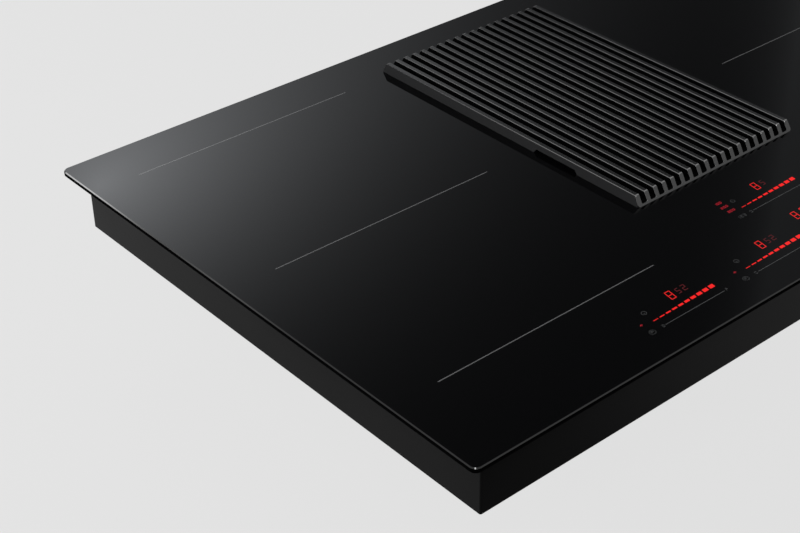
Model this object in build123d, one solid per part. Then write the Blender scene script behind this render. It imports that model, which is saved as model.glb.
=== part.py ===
"""Built-in induction cooktop with a downdraft extractor.

Frame: millimetres, +Z up, +X to the cook's right, +Y to the back. The origin is the middle of the
bounding box's bottom face: under the middle of the glass, on the floor that the fan housing stands on.

A black glass plate lies on a shallow sheet-steel pan that holds four induction coils on two aluminium
carriers, two power boards with their coolers, and the touch board. A plastic well hangs through the
middle, under a loose slatted grille. It holds the lift-out grease filter and drains into a drawer.
Air leaves the well to the right, above a scroll with a single-inlet fan wheel, and goes out at the
back through a flat-duct collar with three gravity flaps.
"""
from build123d import *
import math
import os

# ---------------------------------------------------------------- driving dimensions

# Glass plate
GLASS_W = 830.0
GLASS_D = 515.0
GLASS_T = 4.0
GLASS_CORNER_R = 6.0
GLASS_BEVEL = 0.8

# Seal under the glass rim, and the bond that holds the glass on the pan
SEAL_T = 1.2
SEAL_W = 8.0
SEAL_EDGE = 1.0            # from the glass edge in to the seal
BOND_T = 1.5
BOND_W = 7.0

# Sheet-steel pan under the glass
GLASS_LAP_X = 17.0         # how far the glass stands out past the pan's side walls
GLASS_LAP_Y = 12.5         # and past its front and back walls
PAN_H = 51.5
PAN_T = 1.2
PAN_LIP = 9.0              # inward lip that carries the bond
PAN_BEND_R = 1.5

# Grille: a low slatted cover with steep sides and sloping ends
SLATS = 19
SLAT_W = 4.4
SLAT_PITCH = 10.49
GRILLE_TOP_L = 314.0
GRILLE_H = 9.0
GRILLE_FLARE_X = 1.0       # how far the side walls lean out from top to foot
GRILLE_FLARE_Y = 5.0       # and the two ends
GRILLE_KNEE_R = 2.5        # where the slats' tops turn down into the ends
GRILLE_FOOT_R = 2.5        # corners of the foot, seen from above
GRILLE_BACK = 40.0         # from the glass's back edge to the grille's foot
GRILLE_RIM_T = 1.3         # thickness of the foot rim and the cross ribs
GRILLE_FLOOR_R = 1.3       # where a slat's side runs into the rim and the ribs
GRILLE_SEAT_X = 9.86       # width of glass under the grille's foot, left and right
GRILLE_SEAT_Y = 11.0       # and at the front and back
GRILLE_RIBS = 4
GRILLE_RIB_W = 5.0
SLAT_CHAMFER = 0.4
NOTCH_L = 46.2             # finger notch in the left wall, along its top
NOTCH_H = 3.5
NOTCH_SLOPE = 2.6          # how far each end of the notch leans out towards the foot
NOTCH_R = 1.5
NOTCH_FRONT = 73.0         # from the grille's front foot to the notch
FOOT_L = 22.0              # rubber feet under the outer slats, which drop into the opening
FOOT_DROP = 3.4            # below the glass's top face
FOOT_END_GAP = 2.0         # foot to the start of the opening's corner arc

# Well under the grille
VENT_R = 8.0               # corner radius of the opening in the glass
WELL_STEP = 2.0            # the well's mouth is this much smaller each side than the opening
WELL_WALL = 2.2
WELL_FLANGE = 8.0
WELL_SEAL_T = 1.5
WELL_LEDGE = 4.0           # ledge that the grease filter rests on
WELL_MOUTH_DEPTH = 12.0    # from the well's top down to the ledge
WELL_FLOOR_Z = 35.0
WELL_R = 6.0
DRAIN_R = 12.0
WELL_PORT_L = 220.0        # side port from the well to the fan chamber
WELL_PORT_CLEAR = 3.0      # port edge to the deck below and the cover above

# Grease filter: a V-shaped basket with two sloping mesh panels
BASKET_GAP = 0.6
BASKET_RIM_T = 2.0
BASKET_RIM_W = 7.0
BASKET_DEPTH = 66.0
BASKET_WALL = 2.0
TROUGH_W = 62.0
TROUGH_H = 10.0
MESH_T = 2.0
MESH_HOLE = 6.0
MESH_PITCH = 9.0
MESH_MARGIN = 5.0
HANDLE_R = 3.0
HANDLE_ARCH = 2.4          # how far the bar's underside stands above the rim

# Fan housing under the pan
HOUSE_WALL = 2.5
HOUSE_GAP = 6.0            # clearance from the housing's walls to what it holds
HOUSE_UPPER_H = 55.0
HOUSE_FLANGE_W = 9.0
HOUSE_FLANGE_T = 2.5
HOUSE_R = 8.0

# Fan
WHEEL_R = 90.0
WHEEL_H = 72.0
WHEEL_EYE_R = 74.0         # inside of the blades and of the top ring
WHEEL_PLATE_T = 2.0
WHEEL_RING_T = 2.5
WHEEL_LIFT = 11.5          # scroll floor to the wheel's back plate
BLADES = 36
BLADE_T = 1.2
BLADE_LEAN = 9.0           # degrees that a blade wraps round the wheel
SCROLL_GAP = 9.0           # wheel to the scroll's tongue
SCROLL_GROWTH = 9.0        # further gap gained in each quarter turn
SCROLL_WALL = 2.2
SCROLL_FLOOR = 2.5
SCROLL_CLEAR = 2.5         # scroll wall to the well's wall
SCROLL_FRONT_GAP = 0.5     # scroll wall to the housing's front wall
TONGUE_R = 4.0
DECK_T = 2.5
INLET_GAP = 2.0            # inlet ring's throat to the wheel's eye
INLET_LAP = 4.0            # how far the throat reaches into the wheel
INLET_T = 2.0
INLET_FLARE = 12.0
SHAFT_R = 4.0
SHAFT_FIT = 0.05
HUB_R = 9.0
HUB_H = 13.0
MOTOR_R = 45.0
MOTOR_H = 38.0
MOTOR_CLEAR = 3.0
CAN_T = 2.5
BEARING_R = 9.0
BEARING_H = 5.0
BEARING_SEAT_T = 2.5
STATOR_IN_R = 27.0
AIR_GAP = 0.8
MOUNT_PLATE_R = 58.0
MOUNT_PLATE_T = 2.5
BUSH_R = 7.0
BUSH_H = 5.0
BUSHES = 3
BUSH_PCR = 50.0
BUSH_BORE_R = 2.2

# Outlet collar for a flat duct, and its three flaps
DUCT_W = 222.0
DUCT_H = 89.0
DUCT_WALL = 2.0
COLLAR_GAP = 0.2
COLLAR_WALL = 2.0
COLLAR_L = 30.0
COLLAR_FLANGE_T = 3.0
COLLAR_SCREW_SPAN = 56.4   # between the upper and the lower screws
COLLAR_FLANGE_W = 7.0
COLLAR_CLEAR = 0.95        # the collar's flange to the scroll's floor and to the deck
COLLAR_R = 5.0
FLAPS = 3
FLAP_T = 1.2
FLAP_SIDE_GAP = 0.5
FLAP_PIN_R = 1.5
FLAP_BARREL_R = 2.2
FLAP_FIT = 0.05
FLAP_SET_BACK = 5.0        # from the collar's flange face to the flap pins
FLAP_TIP_GAP = 0.6
JAMB_W = 4.0
STOP_T = 1.5
STOP_GAP = 0.3

# Drip drawer
TRAY_W = 150.0
TRAY_L = 240.0
TRAY_H = 27.0
TRAY_WALL = 1.8
TRAY_GAP = 0.5
TRAY_FRONT_T = 3.0
TRAY_LAP = 5.0             # how far the front overlaps the slot
PULL_W = 50.0              # grip on the drawer's front

# Coils and their carriers
ZONE_LINE_FRONT = 86.7     # front printed zone line, from the glass's front edge
ZONE_LINE_BACK = 50.3      # rear printed zone line, from the glass's back edge
ZONE_SIDE = 45.0           # from the glass's side edge to the zone
ZONE_W = 220.0
COIL_INSET = 7.0           # from the zone's edge to the winding
COIL_R = 58.0
COIL_T = 5.0
COIL_EYE_W = 52.0
COIL_EYE_D = 34.0
COIL_GROOVES = 5
COIL_GROOVE_D = 0.8
FERRITE_T = 5.0
FERRITE_W = 14.0
FERRITE_L = 52.0
FERRITES = 8               # bars under each coil
FERRITE_OUT = 2.0          # from the coil's eye out to the bars
CARRIER_T = 1.5
CARRIER_EDGE = 6.0
MICA_T = 0.8
BLANKET_T = 3.0
SENSOR_R = 7.0
POST_R = 5.0
POST_INSET = 10.0

# Power boards and coolers
BOARD_T = 1.6
BOARD_W = 186.0
BOARD_D = 262.0
BOARD_LIFT = 6.0
BOARD_ROWS = 4             # rows of relays and capacitors beside the heat sink
BOARD_ROW_PITCH = 58.2
RELAY_W = 31.0
RELAY_D = 32.8
RELAY_H = 19.2
RELAY_R = 2.0
CAPACITOR_R = 13.3
STANDOFF_R = 3.5
STANDOFF_INSET = 8.0
SINK_W = 62.0
SINK_L = 150.0
SINK_CLEAR = 4.9           # heat sinks and capacitors to the coil carrier above them
SINK_BASE = 4.0
SINK_FINS = 9
SINK_FIN_T = 1.8
COOLER_SIZE = 92.0
COOLER_ROOM = 6.5          # cooler case to the coil carrier above it
COOLER_WALL = 1.8
COOLER_R = 36.0
COOLER_GAP = 3.0
COOLER_BLADES = 24
COOLER_EYE_R = 27.0
COOLER_FROM_BOARD = 10.0
AXLE_R = 1.5
AXLE_FIT = 0.05
COOLER_HUB_R = 14.0

# Touch board and its holder
TOUCH_W = 424.0
TOUCH_D = 54.0
TOUCH_FRONT = 17.0         # from the glass's front edge
TOUCH_TAB_W = 108.0
TOUCH_TAB_D = 42.0
TOUCH_GAP = 6.4            # board's top to the glass's underside
HOLDER_T = 2.0
HOLDER_LEG_R = 4.0
HOLDER_LEGS = 4
DISPLAY_W = 76.0
DISPLAY_D = 20.0
DISPLAY_STEP = 100.0       # pitch of the two sliders on each side
DISPLAY_INNER = 69.6       # from the middle to the inner slider's middle
KEY_R = 4.0
KEYS_X = (-190.0, -132.0, -24.0, 24.0, 132.0, 190.0)

# Mains inlet and filter board
GLAND_BORE_R = 6.0
GLAND_R = 9.0
GLAND_HEAD_R = 13.0
GLAND_HEAD_T = 9.0
GLAND_NUT_T = 5.0
GLAND_X = 46.0
GLAND_UP = 25.0            # above the pan's underside
GLAND_FIT = 0.1
TERMINAL_W = 62.0
TERMINAL_D = 17.0
TERMINAL_H = 20.0
TERMINAL_FORWARD = 4.25    # from the middle of the strip behind the well
TERMINAL_POLES = 5
TERMINAL_PITCH = 11.3
TERMINAL_POLE_DEPTH = 6.0
FILTER_BOARD_W = 84.0
FILTER_BOARD_D = 26.0
FILTER_LIFT = 3.0
CHOKE_R = 8.7
CHOKE_STEP = 42.0

# Openings and fasteners
SLOT_W = 3.5
SLOT_PITCH = 7.0
SLOT_L = 37.0
EXHAUST_SLOTS = 16
REAR_SLOTS = 14
REAR_SLOT_H = 18.0
SCREW_R = 1.7
SCREW_HEAD_R = 3.4
SCREW_HEAD_T = 2.2
SCREW_HEAD_ROUND = 0.9
SCREW_CROSS_W = 0.8
SCREW_HOLE_GAP = 0.15
SCREW_L = 5.5
PAN_SCREW_INSET = 12.0
BRACKET_HOLE_R = 2.1       # holes for the worktop fixing brackets
BRACKET_INSET_X = 26.0
BRACKET_INSET_Y = 90.0
CABLE_R = 1.6
RIBBON_W = 20.0
RIBBON_T = 1.0


# ---------------------------------------------------------------- levels and places

COLLAR_OUT_W = DUCT_W - 2 * DUCT_WALL - 2 * COLLAR_GAP
COLLAR_OUT_H = DUCT_H - 2 * DUCT_WALL - 2 * COLLAR_GAP
COLLAR_IN_W = COLLAR_OUT_W - 2 * COLLAR_WALL
COLLAR_IN_H = COLLAR_OUT_H - 2 * COLLAR_WALL
# the lower housing is as high as the outlet collar's flange and its clearances ask for
Z_SCROLL_FLOOR = HOUSE_WALL + SCROLL_FLOOR
Z_DECK = Z_SCROLL_FLOOR + COLLAR_OUT_H + 2 * (COLLAR_FLANGE_W + COLLAR_CLEAR)
HOUSE_LOWER_H = Z_DECK + DECK_T

PAN_W = GLASS_W - 2 * GLASS_LAP_X
PAN_D = GLASS_D - 2 * GLASS_LAP_Y
Z_PAN = HOUSE_LOWER_H + HOUSE_UPPER_H
Z_PAN_FLOOR = Z_PAN + PAN_T
Z_PAN_TOP = Z_PAN + PAN_H
Z_GLASS = Z_PAN_TOP + BOND_T
Z_TOP = Z_GLASS + GLASS_T

SLATS_W = (SLATS - 1) * SLAT_PITCH + SLAT_W
GRILLE_W = SLATS_W + 2 * GRILLE_FLARE_X
GRILLE_L = GRILLE_TOP_L + 2 * GRILLE_FLARE_Y
GRILLE_Y = GLASS_D / 2 - GRILLE_BACK - GRILLE_L / 2
VENT_W = GRILLE_W - 2 * GRILLE_SEAT_X
VENT_L = GRILLE_L - 2 * GRILLE_SEAT_Y

MOUTH_W = VENT_W - 2 * WELL_STEP
MOUTH_L = VENT_L - 2 * WELL_STEP
Z_WELL_TOP = Z_GLASS - WELL_SEAL_T
Z_LEDGE = Z_WELL_TOP - WELL_MOUTH_DEPTH
SHAFT_W = MOUTH_W - 2 * WELL_LEDGE
SHAFT_L = MOUTH_L - 2 * WELL_LEDGE
WELL_OUT_W = SHAFT_W + 2 * WELL_WALL
WELL_OUT_L = SHAFT_L + 2 * WELL_WALL

BASKET_W = MOUTH_W - 2 * BASKET_GAP
BASKET_L = MOUTH_L - 2 * BASKET_GAP
BASKET_BODY_W = SHAFT_W - 2 * BASKET_GAP
BASKET_BODY_L = SHAFT_L - 2 * BASKET_GAP
Z_BASKET_TOP = Z_LEDGE + BASKET_RIM_T
Z_BASKET_FOOT = Z_BASKET_TOP - BASKET_DEPTH
# the mesh panels lean from the rim's inner edge down to the trough's upper edge
PANEL_TOP_X = BASKET_BODY_W / 2 - BASKET_WALL
PANEL_FOOT_X = TROUGH_W / 2
PANEL_RISE = Z_LEDGE - (Z_BASKET_FOOT + TROUGH_H)

Z_WHEEL = Z_SCROLL_FLOOR + WHEEL_LIFT
Z_WHEEL_TOP = Z_WHEEL + WHEEL_H
Z_MOUNT = Z_SCROLL_FLOOR + BUSH_H
Z_MOTOR = Z_MOUNT + MOUNT_PLATE_T
Z_MOTOR_TOP = Z_MOTOR + MOTOR_H
GAPS = [SCROLL_GAP + quarter * SCROLL_GROWTH for quarter in range(4)]
FAN_X = WELL_OUT_W / 2 + SCROLL_CLEAR + SCROLL_WALL + WHEEL_R + GAPS[1]
HOUSE_IN_X0 = -WELL_OUT_W / 2 - HOUSE_GAP
HOUSE_IN_X1 = FAN_X + WHEEL_R + GAPS[3] + SCROLL_WALL + HOUSE_GAP
HOUSE_IN_Y0 = GRILLE_Y - WELL_OUT_L / 2 - HOUSE_GAP
HOUSE_IN_Y1 = GRILLE_Y + WELL_OUT_L / 2 + HOUSE_GAP
HOUSE_OUT_Y1 = HOUSE_IN_Y1 + HOUSE_WALL
FAN_Y = HOUSE_IN_Y0 + SCROLL_WALL + SCROLL_FRONT_GAP + WHEEL_R + GAPS[2]

COLLAR_X = FAN_X + WHEEL_R + GAPS[3] - COLLAR_IN_W / 2
COLLAR_Z = (Z_SCROLL_FLOOR + Z_DECK) / 2
FLAP_Y = HOUSE_OUT_Y1 + COLLAR_FLANGE_T + FLAP_SET_BACK
FLAP_STEP = COLLAR_IN_H / FLAPS
FLAP_TOP_Z = COLLAR_Z + COLLAR_IN_H / 2 - FLAP_BARREL_R - FLAP_TIP_GAP
FLAP_L = FLAP_STEP - FLAP_BARREL_R - 2 * FLAP_TIP_GAP

Z_BLANKET = Z_GLASS - BLANKET_T
Z_MICA = Z_BLANKET - MICA_T
Z_COIL = Z_MICA - COIL_T
Z_FERRITE = Z_COIL - FERRITE_T
Z_CARRIER = Z_FERRITE - CARRIER_T
ZONE_D = (GLASS_D - ZONE_LINE_FRONT - ZONE_LINE_BACK) / 2
ZONE_X = GLASS_W / 2 - ZONE_SIDE - ZONE_W / 2
ZONE_Y_FRONT = ZONE_LINE_FRONT + ZONE_D / 2 - GLASS_D / 2
ZONE_Y_BACK = ZONE_Y_FRONT + ZONE_D
ZONE_Y = (ZONE_Y_FRONT + ZONE_Y_BACK) / 2
COIL_W = ZONE_W - 2 * COIL_INSET
COIL_D = ZONE_D - 2 * COIL_INSET
CARRIER_W = ZONE_W + 2 * CARRIER_EDGE
CARRIER_D = 2 * ZONE_D + 2 * CARRIER_EDGE

Z_BOARD = Z_PAN_FLOOR + BOARD_LIFT
Z_BOARD_TOP = Z_BOARD + BOARD_T
Z_SINK_TOP = Z_CARRIER - SINK_CLEAR
Z_COOLER_TOP = Z_CARRIER - COOLER_ROOM
POST_X = CARRIER_W / 2 - POST_INSET
POST_Y = CARRIER_D / 2 - POST_INSET
BOARD_Y = ZONE_Y - CARRIER_D / 2 + POST_INSET + POST_R + STANDOFF_INSET + BOARD_D / 2
COOLER_Y = BOARD_Y + BOARD_D / 2 + COOLER_FROM_BOARD + COOLER_SIZE / 2

Z_TOUCH_TOP = Z_GLASS - TOUCH_GAP
Z_TOUCH = Z_TOUCH_TOP - BOARD_T
Z_HOLDER = Z_TOUCH - HOLDER_T
TOUCH_Y = -GLASS_D / 2 + TOUCH_FRONT + TOUCH_D / 2
TOUCH_BACK_Y = TOUCH_Y + TOUCH_D / 2
TAB_Y = TOUCH_BACK_Y + TOUCH_TAB_D / 2
SERVICE_Y = (GRILLE_Y + MOUTH_L / 2 + WELL_WALL + PAN_D / 2 - PAN_T) / 2   # strip behind the well
GLAND_Z = Z_PAN + GLAND_UP


# ---------------------------------------------------------------- shapes used more than once

def block(w, d, z0, z1, x=0.0, y=0.0, r=0.0):
    """An upright block centred on x, y, with corner radius r seen from above."""
    outline = RectangleRounded(w, d, r) if r > 0 else Rectangle(w, d)
    return Pos(x, y, z0) * extrude(outline, z1 - z0)


def span(x0, x1, y0, y1, z0, z1):
    """A plain block given by its six faces."""
    return Pos((x0 + x1) / 2, (y0 + y1) / 2, (z0 + z1) / 2) * Box(x1 - x0, y1 - y0, z1 - z0)


def frame(w, d, rim, z0, z1, x=0.0, y=0.0, r=0.0):
    """A flat rectangular ring whose rim is that wide."""
    inner_r = max(r - rim, 0.0)
    hole = block(w - 2 * rim, d - 2 * rim, z0 - 1, z1 + 1, x, y, inner_r)
    return block(w, d, z0, z1, x, y, r) - hole


def rod(radius, z0, z1, x=0.0, y=0.0):
    """An upright round bar."""
    return Pos(x, y, (z0 + z1) / 2) * Cylinder(radius, z1 - z0)


def rod_x(radius, x0, x1, y, z):
    """A round bar along X."""
    return Pos((x0 + x1) / 2, y, z) * Rot(0, 90, 0) * Cylinder(radius, x1 - x0)


def rod_y(radius, y0, y1, x, z):
    """A round bar along Y."""
    return Pos(x, (y0 + y1) / 2, z) * Rot(90, 0, 0) * Cylinder(radius, y1 - y0)


def slots(count, pitch, w, length, z0, z1, x, y):
    """A row of through-cutters, side by side along X, each running along Y."""
    start = -(count - 1) * pitch / 2
    outline = Sketch() + [Pos(start + n * pitch, 0) * SlotOverall(length, w, rotation=90)
                          for n in range(count)]
    return Pos(x, y, z0) * extrude(outline, z1 - z0)


def lens(profile_points):
    """A turned body: the closed profile (radius, height) revolved about Z."""
    outline = Plane.XZ * make_face(Polyline(*profile_points, close=True))
    return revolve(outline, Axis.Z)


def bladed(inner_r, outer_r, count, thickness, lean, z0, z1):
    """Forward-curved blades standing in a ring, each an arc of even thickness."""
    middle_r = (inner_r + outer_r) / 2
    sag = math.radians(lean) / 2
    inner = Vector(inner_r, 0)
    middle = Vector(middle_r * math.cos(sag * 0.7), middle_r * math.sin(sag * 0.7))
    outer = Vector(outer_r * math.cos(sag * 2), outer_r * math.sin(sag * 2))
    line = ThreePointArc(inner, middle, outer)
    strip = trace(line, thickness)
    ring = Sketch() + [Rot(0, 0, n * 360 / count) * strip for n in range(count)]
    return Pos(0, 0, z0) * extrude(ring, z1 - z0)


def screw_down(x, y, z_face, length):
    """A pan-head screw whose head stands on z_face and whose shank runs down."""
    head = rod(SCREW_HEAD_R, z_face, z_face + SCREW_HEAD_T, x, y)
    head = fillet(head.edges().sort_by(Axis.Z)[-1], SCREW_HEAD_ROUND)
    top = z_face + SCREW_HEAD_T
    cross = block(SCREW_HEAD_R, SCREW_CROSS_W, top - SCREW_HEAD_T / 2, top + 1, x, y)
    cross += block(SCREW_CROSS_W, SCREW_HEAD_R, top - SCREW_HEAD_T / 2, top + 1, x, y)
    return head + rod(SCREW_R, z_face - length, z_face, x, y) - cross


def write(name, shape):
    """Writes one sub-part's solids as a STEP file."""
    pieces = shape if isinstance(shape, list) else [shape]
    solids = [solid for piece in pieces for solid in piece.solids()]
    export_step(Compound(children=solids) if len(solids) > 1 else solids[0], f"parts/{name}.step")


# ---------------------------------------------------------------- glass, seals and pan

def glass_top():
    plate = block(GLASS_W, GLASS_D, Z_GLASS, Z_TOP, r=GLASS_CORNER_R)
    rim = plate.faces().sort_by(Axis.Z)[-1].outer_wire().edges()
    plate = chamfer(rim, GLASS_BEVEL)
    return plate - block(VENT_W, VENT_L, Z_GLASS - 1, Z_TOP + 1, y=GRILLE_Y, r=VENT_R)


def worktop_seal():
    return frame(GLASS_W - 2 * SEAL_EDGE, GLASS_D - 2 * SEAL_EDGE, SEAL_W,
                 Z_GLASS - SEAL_T, Z_GLASS, r=GLASS_CORNER_R - SEAL_EDGE)


def glass_bond():
    return frame(PAN_W - 2 * PAN_T, PAN_D - 2 * PAN_T, BOND_W, Z_PAN_TOP, Z_GLASS)


def housing_screw_places():
    """Places on the flange round the fan housing, four along each long side and two on each short."""
    x0, x1 = HOUSE_IN_X0 - HOUSE_WALL, HOUSE_IN_X1 + HOUSE_WALL
    y0, y1 = HOUSE_IN_Y0 - HOUSE_WALL, HOUSE_IN_Y1 + HOUSE_WALL
    out = HOUSE_FLANGE_W / 2
    places = []
    for n in range(4):
        x = x0 + (x1 - x0) * (n + 0.5) / 4
        places += [(x, y0 - out), (x, y1 + out)]
    for n in range(2):
        y = y0 + (y1 - y0) * (n + 0.5) / 2
        places += [(x0 - out, y), (x1 + out, y)]
    return places


def pan_screw_places():
    """Four places beside the well where the pan's floor is screwed down to the housing's cover."""
    x0, x1 = WELL_OUT_W / 2 + PAN_SCREW_INSET, HOUSE_IN_X1 - PAN_SCREW_INSET
    # the back pair stands between the power board and its cooler
    y0, y1 = HOUSE_IN_Y0 + PAN_SCREW_INSET, BOARD_Y + BOARD_D / 2 + COOLER_FROM_BOARD / 2
    return [(x, y) for x in (x0, x1) for y in (y0, y1)]


def bracket_places():
    x = PAN_W / 2 - BRACKET_INSET_X
    y = PAN_D / 2 - BRACKET_INSET_Y
    return [(sx * x, sy * y) for sx in (-1, 1) for sy in (-1, 1)]


def base_pan():
    pan = block(PAN_W, PAN_D, Z_PAN, Z_PAN_TOP, r=PAN_BEND_R)
    pan -= block(PAN_W - 2 * PAN_T, PAN_D - 2 * PAN_T, Z_PAN_FLOOR, Z_PAN_TOP - PAN_T)
    pan -= block(PAN_W - 2 * PAN_LIP, PAN_D - 2 * PAN_LIP, Z_PAN_TOP - PAN_T - 1, Z_PAN_TOP + 1)
    cuts = [block(WELL_OUT_W + 2 * WELL_STEP, WELL_OUT_L + 2 * WELL_STEP, Z_PAN - 1, Z_PAN_FLOOR + 1,
                  y=GRILLE_Y, r=WELL_R + WELL_STEP)]
    for side in (-1, 1):
        cuts.append(slots(EXHAUST_SLOTS, SLOT_PITCH, SLOT_W, SLOT_L, Z_PAN - 1, Z_PAN_FLOOR + 1,
                          side * ZONE_X, BOARD_Y - BOARD_D / 2 - SLOT_L / 2))
        rear = slots(REAR_SLOTS, SLOT_PITCH, SLOT_W, REAR_SLOT_H, 0, 4 * PAN_T, 0, 0)
        cuts.append(Pos(side * ZONE_X, PAN_D / 2 + 2 * PAN_T, Z_PAN + PAN_H / 2) * Rot(90, 0, 0) * rear)
    for x, y in bracket_places():
        cuts.append(rod(BRACKET_HOLE_R, Z_PAN - 1, Z_PAN_FLOOR + 1, x, y))
    for x, y in pan_screw_places():
        cuts.append(rod(SCREW_R + SCREW_HOLE_GAP, Z_PAN - 1, Z_PAN_FLOOR + 1, x, y))
    cuts.append(rod_y(GLAND_R + GLAND_FIT, PAN_D / 2 - 2 * PAN_T, PAN_D / 2 + PAN_T, GLAND_X, GLAND_Z))
    return pan - cuts


# ---------------------------------------------------------------- grille

def slat_x(n):
    return (n - (SLATS - 1) / 2) * SLAT_PITCH


def grille():
    side = make_face(Polyline((-GRILLE_L / 2, 0), (GRILLE_L / 2, 0), (GRILLE_TOP_L / 2, GRILLE_H),
                              (-GRILLE_TOP_L / 2, GRILLE_H), close=True))
    side = fillet(side.vertices().group_by(Axis.Y)[-1], GRILLE_KNEE_R)
    front = make_face(Polyline((-GRILLE_W / 2, 0), (GRILLE_W / 2, 0), (SLATS_W / 2, GRILLE_H),
                               (-SLATS_W / 2, GRILLE_H), close=True))
    end_y = GRILLE_Y + GRILLE_L / 2 + 1
    body = block(GRILLE_W, GRILLE_L, Z_TOP, Z_TOP + GRILLE_H, y=GRILLE_Y, r=GRILLE_FOOT_R)
    body &= Pos(-GRILLE_W / 2 - 1, GRILLE_Y, Z_TOP) * extrude(Plane.YZ * side, GRILLE_W + 2)
    body &= Pos(0, end_y, Z_TOP) * extrude(Plane.XZ * front, GRILLE_L + 2)

    gap = SLAT_PITCH - SLAT_W
    mouth = make_face(Polyline((-gap / 2, GRILLE_RIM_T), (gap / 2, GRILLE_RIM_T), (gap / 2, GRILLE_H + 1),
                               (-gap / 2, GRILLE_H + 1), close=True))
    mouth = fillet(mouth.vertices().group_by(Axis.Y)[0], GRILLE_FLOOR_R)
    slot = extrude(Plane.XZ * mouth, GRILLE_L + 2)
    body -= [Pos((slat_x(n) + slat_x(n + 1)) / 2, end_y, Z_TOP) * slot for n in range(SLATS - 1)]
    # easing a slat's long top edge carries on round the knees and down the sloping ends
    tops = body.edges().filter_by(Axis.Y).group_by(Axis.Z)[-1]
    body = chamfer(tops, SLAT_CHAMFER)

    bay_l = (VENT_L - (GRILLE_RIBS + 1) * GRILLE_RIB_W) / (GRILLE_RIBS + 1)
    bay_top = Z_TOP + GRILLE_RIM_T + GRILLE_FLOOR_R + 1
    cuts = []
    for n in range(SLATS - 1):
        x = (slat_x(n) + slat_x(n + 1)) / 2
        for bay in range(GRILLE_RIBS + 1):
            y = GRILLE_Y + (bay - GRILLE_RIBS / 2) * (bay_l + GRILLE_RIB_W)
            cuts.append(block(gap, bay_l, Z_TOP - 1, bay_top, x, y))
    notch_y = GRILLE_Y - GRILLE_L / 2 + NOTCH_FRONT + NOTCH_L / 2
    foot = NOTCH_L / 2 + NOTCH_SLOPE
    notch = make_face(Polyline((-foot, -1), (-foot, 0), (-NOTCH_L / 2, NOTCH_H), (NOTCH_L / 2, NOTCH_H),
                               (foot, 0), (foot, -1), close=True))
    notch = fillet(notch.vertices().group_by(Axis.Y)[-1], NOTCH_R)
    wall = GRILLE_FLARE_X + SLAT_W
    cuts.append(Pos(-GRILLE_W / 2 - wall, notch_y, Z_TOP) * extrude(Plane.YZ * notch, 2 * wall))
    return body - cuts


def grille_feet():
    """Four pads glued under the second slat from each side; they keep the grille in its opening."""
    x = slat_x(SLATS - 2)
    y = VENT_L / 2 - VENT_R - FOOT_END_GAP - FOOT_L / 2
    return [block(SLAT_W, FOOT_L, Z_TOP - FOOT_DROP, Z_TOP, sx * x, GRILLE_Y + sy * y)
            for sx in (-1, 1) for sy in (-1, 1)]


# ---------------------------------------------------------------- well and grease filter

def well_seal():
    return frame(MOUTH_W + 2 * WELL_FLANGE, MOUTH_L + 2 * WELL_FLANGE, WELL_FLANGE - 1,
                 Z_WELL_TOP, Z_GLASS, y=GRILLE_Y, r=VENT_R)


def intake_well():
    out_w, out_l = MOUTH_W + 2 * WELL_WALL, MOUTH_L + 2 * WELL_WALL
    well = block(MOUTH_W + 2 * WELL_FLANGE, MOUTH_L + 2 * WELL_FLANGE, Z_WELL_TOP - WELL_WALL,
                 Z_WELL_TOP, y=GRILLE_Y, r=VENT_R)
    well += block(out_w, out_l, Z_LEDGE - WELL_WALL, Z_WELL_TOP, y=GRILLE_Y, r=WELL_R + WELL_WALL)
    well += block(WELL_OUT_W, WELL_OUT_L, WELL_FLOOR_Z, Z_LEDGE, y=GRILLE_Y, r=WELL_R + WELL_WALL)
    well -= block(MOUTH_W, MOUTH_L, Z_LEDGE, Z_WELL_TOP + 1, y=GRILLE_Y, r=WELL_R)
    well -= block(SHAFT_W, SHAFT_L, WELL_FLOOR_Z + WELL_WALL, Z_LEDGE + 1, y=GRILLE_Y, r=WELL_R)
    well -= rod(DRAIN_R, WELL_FLOOR_Z - 1, WELL_FLOOR_Z + WELL_WALL + 1, y=GRILLE_Y)
    port_z0 = HOUSE_LOWER_H + WELL_PORT_CLEAR
    port_z1 = Z_PAN - HOUSE_WALL - WELL_PORT_CLEAR
    well -= span(SHAFT_W / 2 - 1, WELL_OUT_W / 2 + 1, GRILLE_Y - WELL_PORT_L / 2,
                 GRILLE_Y + WELL_PORT_L / 2, port_z0, port_z1)
    return well


def filter_basket():
    """Rim, two end walls and a trough, in one moulding; the long sides are left open for the mesh."""
    rim = frame(BASKET_W, BASKET_L, BASKET_RIM_W, Z_LEDGE, Z_BASKET_TOP, y=GRILLE_Y, r=WELL_R - BASKET_GAP)
    end = Polyline((-BASKET_BODY_W / 2, Z_LEDGE), (BASKET_BODY_W / 2, Z_LEDGE),
                   (TROUGH_W / 2, Z_BASKET_FOOT + TROUGH_H), (TROUGH_W / 2, Z_BASKET_FOOT),
                   (-TROUGH_W / 2, Z_BASKET_FOOT), (-TROUGH_W / 2, Z_BASKET_FOOT + TROUGH_H), close=True)
    end = extrude(Plane.XZ * make_face(end), BASKET_WALL)
    trough = block(TROUGH_W, BASKET_BODY_L, Z_BASKET_FOOT, Z_BASKET_FOOT + TROUGH_H, y=GRILLE_Y)
    trough -= block(TROUGH_W - 2 * BASKET_WALL, BASKET_BODY_L - 2 * BASKET_WALL,
                    Z_BASKET_FOOT + BASKET_WALL, Z_BASKET_FOOT + TROUGH_H + 1, y=GRILLE_Y)
    for y in (GRILLE_Y - BASKET_BODY_L / 2 + BASKET_WALL, GRILLE_Y + BASKET_BODY_L / 2):
        trough += Pos(0, y, 0) * end
    room = block(BASKET_BODY_W, BASKET_BODY_L, Z_BASKET_FOOT, Z_LEDGE, y=GRILLE_Y, r=WELL_R - BASKET_GAP)
    return rim + (trough & room)


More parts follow.
